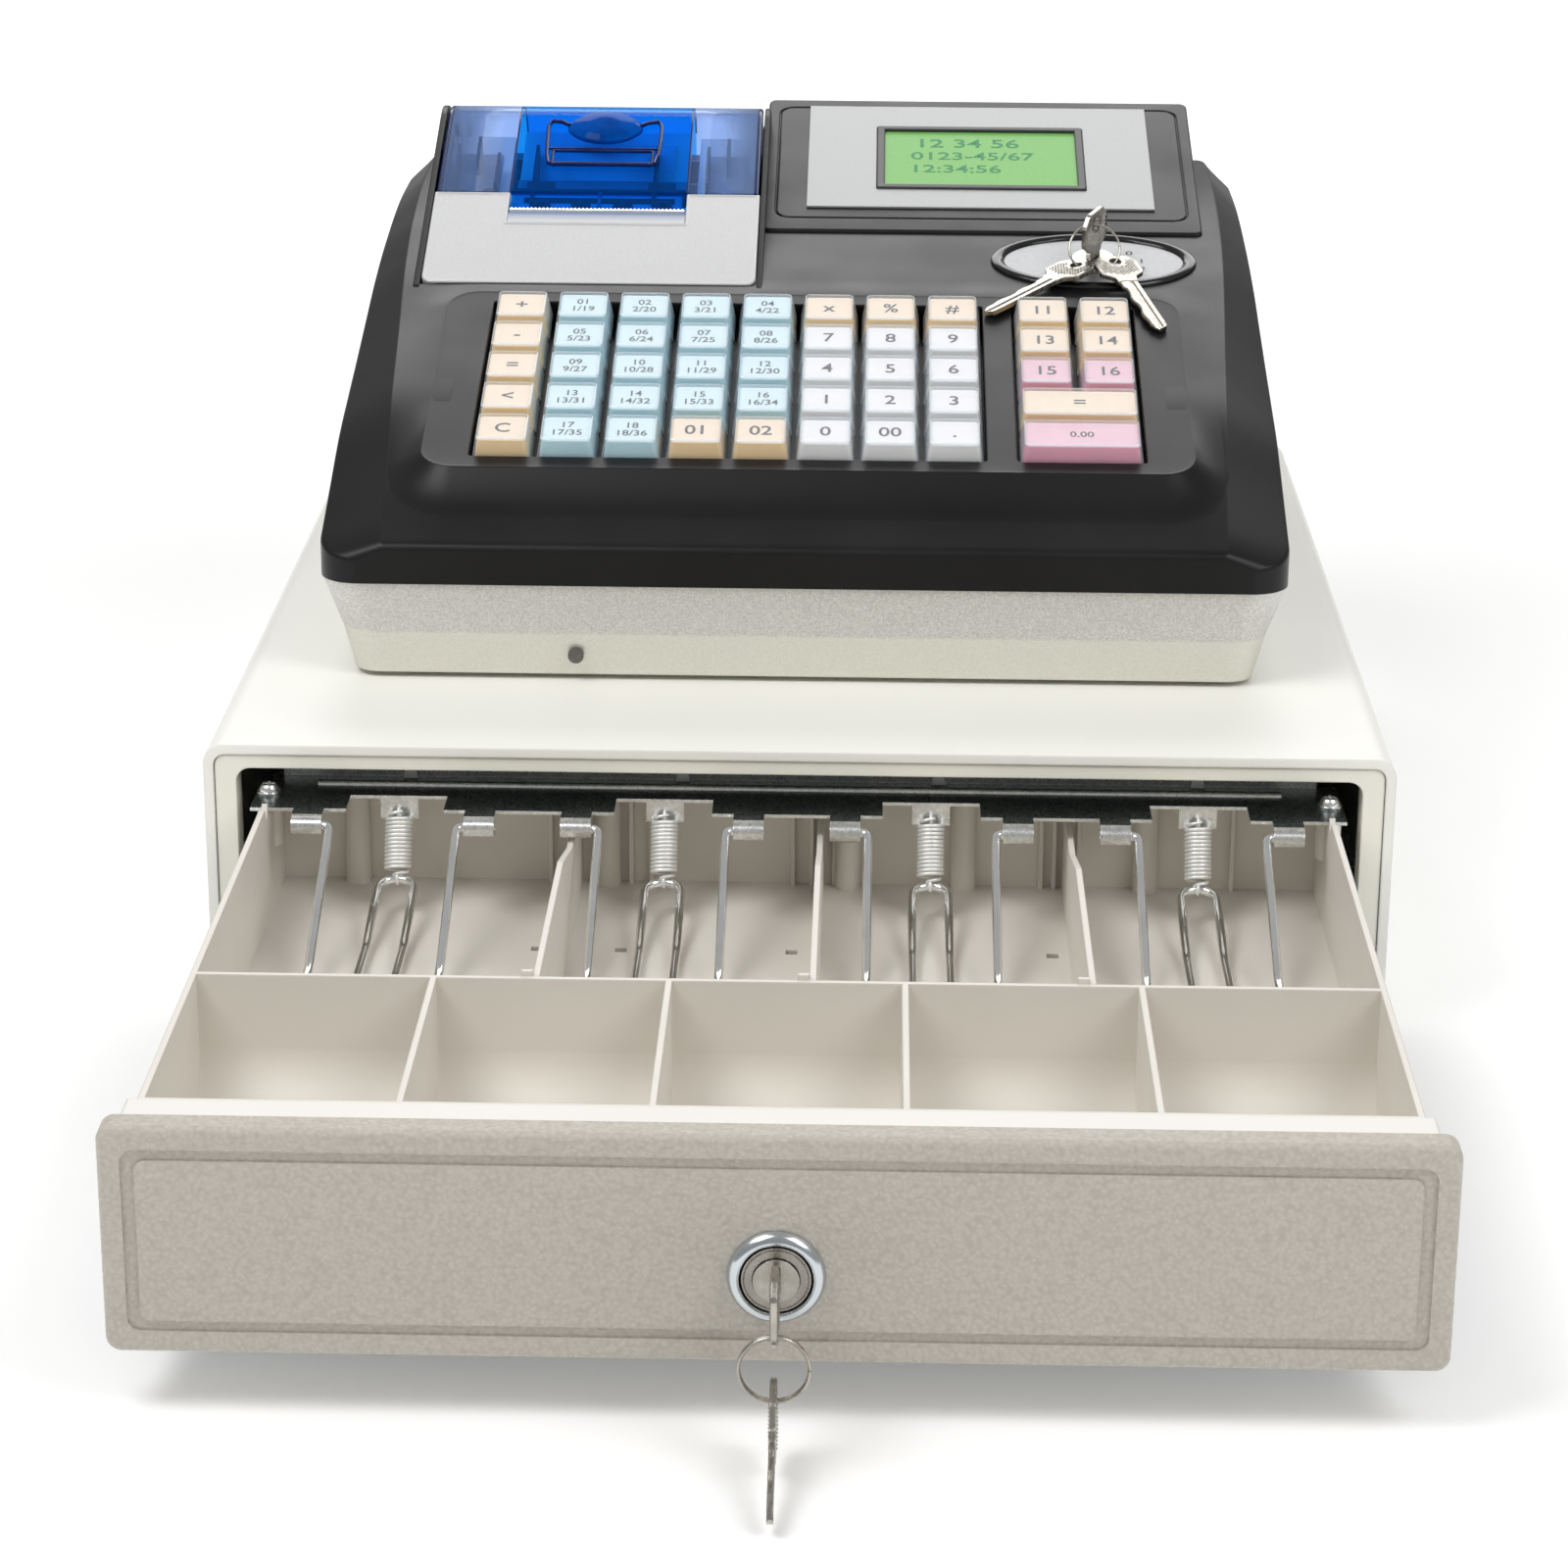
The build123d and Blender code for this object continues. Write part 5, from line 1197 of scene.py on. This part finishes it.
def keys_and_rings():
    looks, sharp = "nickel_key", 32.0
    made = Builder()
    lock_key(made, turned((0, KEY_SEAT_Y, LOCK_Z), (0, 1, 0), (1, 0, 0)), 18.0, (-17.5, -6.3))
    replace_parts(made.make("lock_key", looks, "lock_plug", slot_of("drawer_key"), sharp=sharp), "drawer_key")

    ring_centre = (0, KEY_SEAT_Y - 17.5, LOCK_Z - 6.3 - 0.9 - RING_R)
    made = Builder()
    split_ring(made, ring_centre, (0, 1, 0))
    ring = made.make("key_split_ring", looks, "key_ring", slot_of("drawer_key_ring"), sharp=sharp)
    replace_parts(ring, "drawer_key_ring")

    lean = math.radians(16.0)
    made = Builder()
    down = Vector((0, -math.cos(lean), -math.sin(lean)))
    hole = Vector((0, KEY_SEAT_Y - 17.5, LOCK_Z - 6.3 - 1.8 - 2 * RING_R))
    lock_key(made, turned(hole + down * 19.0, down, (1, 0, 0)), 25.0, (-19.0, 0))
    spare = made.make("hanging_key", looks, "spare_key", slot_of("spare_drawer_key"), sharp=sharp)
    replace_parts(spare, "spare_drawer_key")

    turn = math.radians(MODE_KEY_TURN)
    along, across = Vector(MODE.at(0, 1)) - Vector(MODE.at(0, 0)), Vector((1, 0, 0))
    up = Vector(MODE.at(0, 0, 1)) - Vector(MODE.at(0, 0))
    flat_side = across * math.cos(turn) + along * math.sin(turn)
    made = Builder()
    seat, seat_hole_x = MODE.at(0, 0, MODE_KEY_SEAT), 17.0 * SMALL_BOW
    lock_key(made, turned(seat, -up, flat_side), 14.5, (-seat_hole_x, 0), SMALL_BOW)
    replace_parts(made.make("mode_lock_key", looks, "mode_plug", slot_of("mode_key"), sharp=sharp), "mode_key")

    made = Builder()
    low = math.radians(MODE_RING_LEAN)
    hang = up * math.cos(low) + along * math.sin(low)
    normal = along * math.cos(low) - up * math.sin(low)
    top = Vector(MODE.at(0, 0, MODE_KEY_SEAT + seat_hole_x - 0.9))
    split_ring(made, top - hang * RING_R, normal, wire=0.42)
    hole_x = 18.0 * SMALL_BOW
    lying = (((101.5, 37.5, 214.2), (66.2, 3.2, 203.8)), ((116.3, 38.0, 215.6), (131.3, -8.5, 200.4)))
    for hole_at, tip_at in lying:
        run = (Vector(tip_at) - Vector(hole_at)).normalized()
        side = Vector((0, 0, 1)).cross(run)
        place = turned(Vector(hole_at) + run * hole_x, run, run.cross(side))
        lock_key(made, place, 36.0, (-hole_x, 0), SMALL_BOW)
    key_set = made.make("mode_keys_on_ring", looks, "register", slot_of("mode_key_set"), sharp=sharp)
    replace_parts(key_set, "mode_key_set")


def drawer_lock():
    """Domed satin chrome ring round the barrel's turned face."""
    made = Builder()

    def place(a, b, depth):
        return (a, PANEL_Y - depth, LOCK_Z + b)

    dome = ((13.9, -0.6), (13.9, 0.4), (13.7, 1.2), (13.2, 2.1), (12.5, 2.8), (11.7, 3.2), (11.0, 3.25),
            (10.5, 3.0), (10.2, 2.5), (10.1, 1.6))
    barrel = ((9.9, -0.6), (9.9, 2.4), (9.7, 2.75), (9.2, 2.75), (9.1, 2.5), (8.9, 2.5), (8.8, 2.75),
              (6.7, 2.75), (6.6, 2.4), (6.55, -0.6))
    body = ((9.5, -0.6), (9.5, -20.0), (6.55, -20.0), (6.55, -0.6))
    for profile, look in ((dome, 0), (barrel, 1), (body, 1)):
        made.skin(lathe(profile, place), look=look)
    made.rings([[place(a, b, depth) for a, b in circle(0, 0, 12.5, 6)] for depth in (-11.0, -15.0)], look=1)
    looks = ["satin_chrome", "turned_nickel"]
    lock = made.make("lock_face", looks, "drawer", slot_of("lock_barrel"), sharp=30.0)
    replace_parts(lock, "lock_barrel")


# ------------------------------------------------------------------ bill clips

CLIP_CENTRES_X = (-136.0, -45.3, 45.3, 136.0)
SPRING_TOP = (-210.8, 76.2)
SPRING_LOOP = (-220.0, 56.0)
BAR_TOP = 82.2


def clip_springs():
    """Close-wound tension springs with a loop at each end, stretched between the bar's tab and the clip."""
    (y0, z0), (y1, z1) = SPRING_TOP, SPRING_LOOP
    axis = Vector((0, y1 - y0, z1 - z0))
    length = axis.length
    turns, coil_r, wire, steps, tail, loop_r = 13, 4.1, 0.62, 13 * 18, 12, 1.9
    for number, centre in enumerate(CLIP_CENTRES_X, 1):
        made = Builder()
        base = turned((centre, y0, z0), axis, (1, 0, 0))
        path = []
        for i in range(-tail, steps + tail + 1):
            t = i / steps
            beyond = max(-i, i - steps, 0)
            taper = 0.25 + 0.75 * (1 - beyond / tail) ** 0.7
            along = 1.2 + (length - 4.6) * min(max(t, -0.04), 1.04) + math.copysign(beyond * 0.11, i)
            a = 2 * math.pi * turns * t
            path.append(base @ Vector((along, coil_r * taper * math.cos(a), coil_r * taper * math.sin(a))))
        made.rings(tube(path, wire, 8))
        for x in (length - 0.4, -0.2):
            bend = np.linspace(-0.4, 5.4, 20)
            hook = [base @ Vector((x + loop_r * math.sin(a), loop_r * math.cos(a), 0.0)) for a in bend]
            made.rings(tube(hook, wire, 8))
        spring = made.make(f"clip_spring_{number}", "spring_zinc", None, slot_of("clip_springs"), sharp=60.0)
        if number == 1:
            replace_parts(spring, "clip_springs")
        start, end = ((centre * MM, y * MM, z * MM) for y, z in (SPRING_TOP, SPRING_LOOP))
        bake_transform(spring)
        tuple(start)
        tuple(end)


def bar_hooks():
    """Small bent lugs standing on the back of the clip bar."""
    made = Builder()
    y, low, high = -191.0, 2.6, 1.6
    for x in (-134.0, -40.0, 48.0, 137.0):
        front = [(x - low, BAR_TOP), (x + low, BAR_TOP), (x + high, BAR_TOP + 4.2), (x - high, BAR_TOP + 4.2)]
        made.rings([[(px, depth, pz) for px, pz in front] for depth in (y, y + 1.2)])
    made.make("bar_hooks", "mechanism_pale", "drawer", slot_of("clip_bar"), sharp=30.0, bevel=0.2)


# ------------------------------------------------------------------ studio

def emitter(name, place, aim, size, power, colour=(1.0, 1.0, 1.0)):
    """Rectangular softbox at a place, pointing at aim."""
    light = bpy.data.lights.new(name, "AREA")
    light.shape = "RECTANGLE"
    light.size, light.size_y = size
    light.energy = power
    light.color = colour
    lamp = bpy.data.objects.new(name, light)
    bpy.context.scene.collection.objects.link(lamp)
    lamp.location = place
    lamp.rotation_euler = (Vector(aim) - Vector(place)).to_track_quat("-Z", "Y").to_euler()


def studio():
    world = bpy.data.worlds.new("studio")
    world.use_nodes = True
    background = world.node_tree.nodes["Background"]
    background.inputs["Color"].default_value = (1.0, 1.0, 1.0, 1.0)
    background.inputs["Strength"].default_value = 0.36
    bpy.context.scene.world = world
    bpy.context.scene.view_settings.view_transform = "Standard"
    aim = (0.0, -0.15, 0.1)
    emitter("key_softbox", (-0.75, -0.75, 1.45), aim, (0.8, 0.8), 13.0)
    emitter("fill_softbox", (0.95, -0.95, 1.25), aim, (0.7, 0.9), 9.0)
    emitter("back_softbox", (0.1, 1.5, 1.3), aim, (1.8, 0.8), 14.0)

    floor_mesh = bpy.data.meshes.new("floor")
    reach = 40.0
    corners = [(-reach, -reach, 0), (reach, -reach, 0), (reach, reach, 0), (-reach, reach, 0)]
    floor_mesh.from_pydata(corners, [], [(0, 1, 2, 3)])
    floor = bpy.data.objects.new("floor", floor_mesh)
    bpy.context.scene.collection.objects.link(floor)
    s = Shader("floor", Roughness=0.6)
    s.set("Base Color", s.vary((0.93, 0.93, 0.925), 0.01, 2.0))
    s.set("Emission Color", (1.0, 1.0, 1.0))
    away = s.node("ShaderNodeVectorMath", {"operation": "LENGTH"})
    s.tree.links.new(s.coords, away.inputs[0])
    s.set("Emission Strength", s.remap(away.outputs["Value"], 0.14, 0.62, 0.5, 1.8))
    floor_mesh.materials.append(s.material)


def camera():
    """Seen from the customer's height in front, slightly right of centre."""
    yaw, pitch, roll = -0.0209, 0.3388, 0.0064
    forward = Vector((math.sin(yaw) * math.cos(pitch), math.cos(yaw) * math.cos(pitch), -math.sin(pitch)))
    right = Vector((math.cos(yaw), -math.sin(yaw), 0.0))
    up = right.cross(forward)
    right, up = right * math.cos(roll) + up * math.sin(roll), up * math.cos(roll) - right * math.sin(roll)
    data = bpy.data.cameras.new("camera")
    data.sensor_width = 36.0
    data.lens = 94.87
    data.clip_start, data.clip_end = 0.05, 50.0
    cam = bpy.data.objects.new("camera", data)
    bpy.context.scene.collection.objects.link(cam)
    basis = Matrix((right, up, -forward)).transposed().to_4x4()
    cam.matrix_world = Matrix.Translation((0.02288, -1.53310, 0.55495)) @ basis
    bpy.context.scene.camera = cam


top_shell()
key_field()
display_pod()
printer_cheeks()
keyboard()
display()
printer_front()
tear_strip()
printer_inside()
cover_lid()
cover_thumb_piece()
mode_oval()
keys_and_rings()
drawer_lock()
clip_springs()
bar_hooks()
studio()
camera()
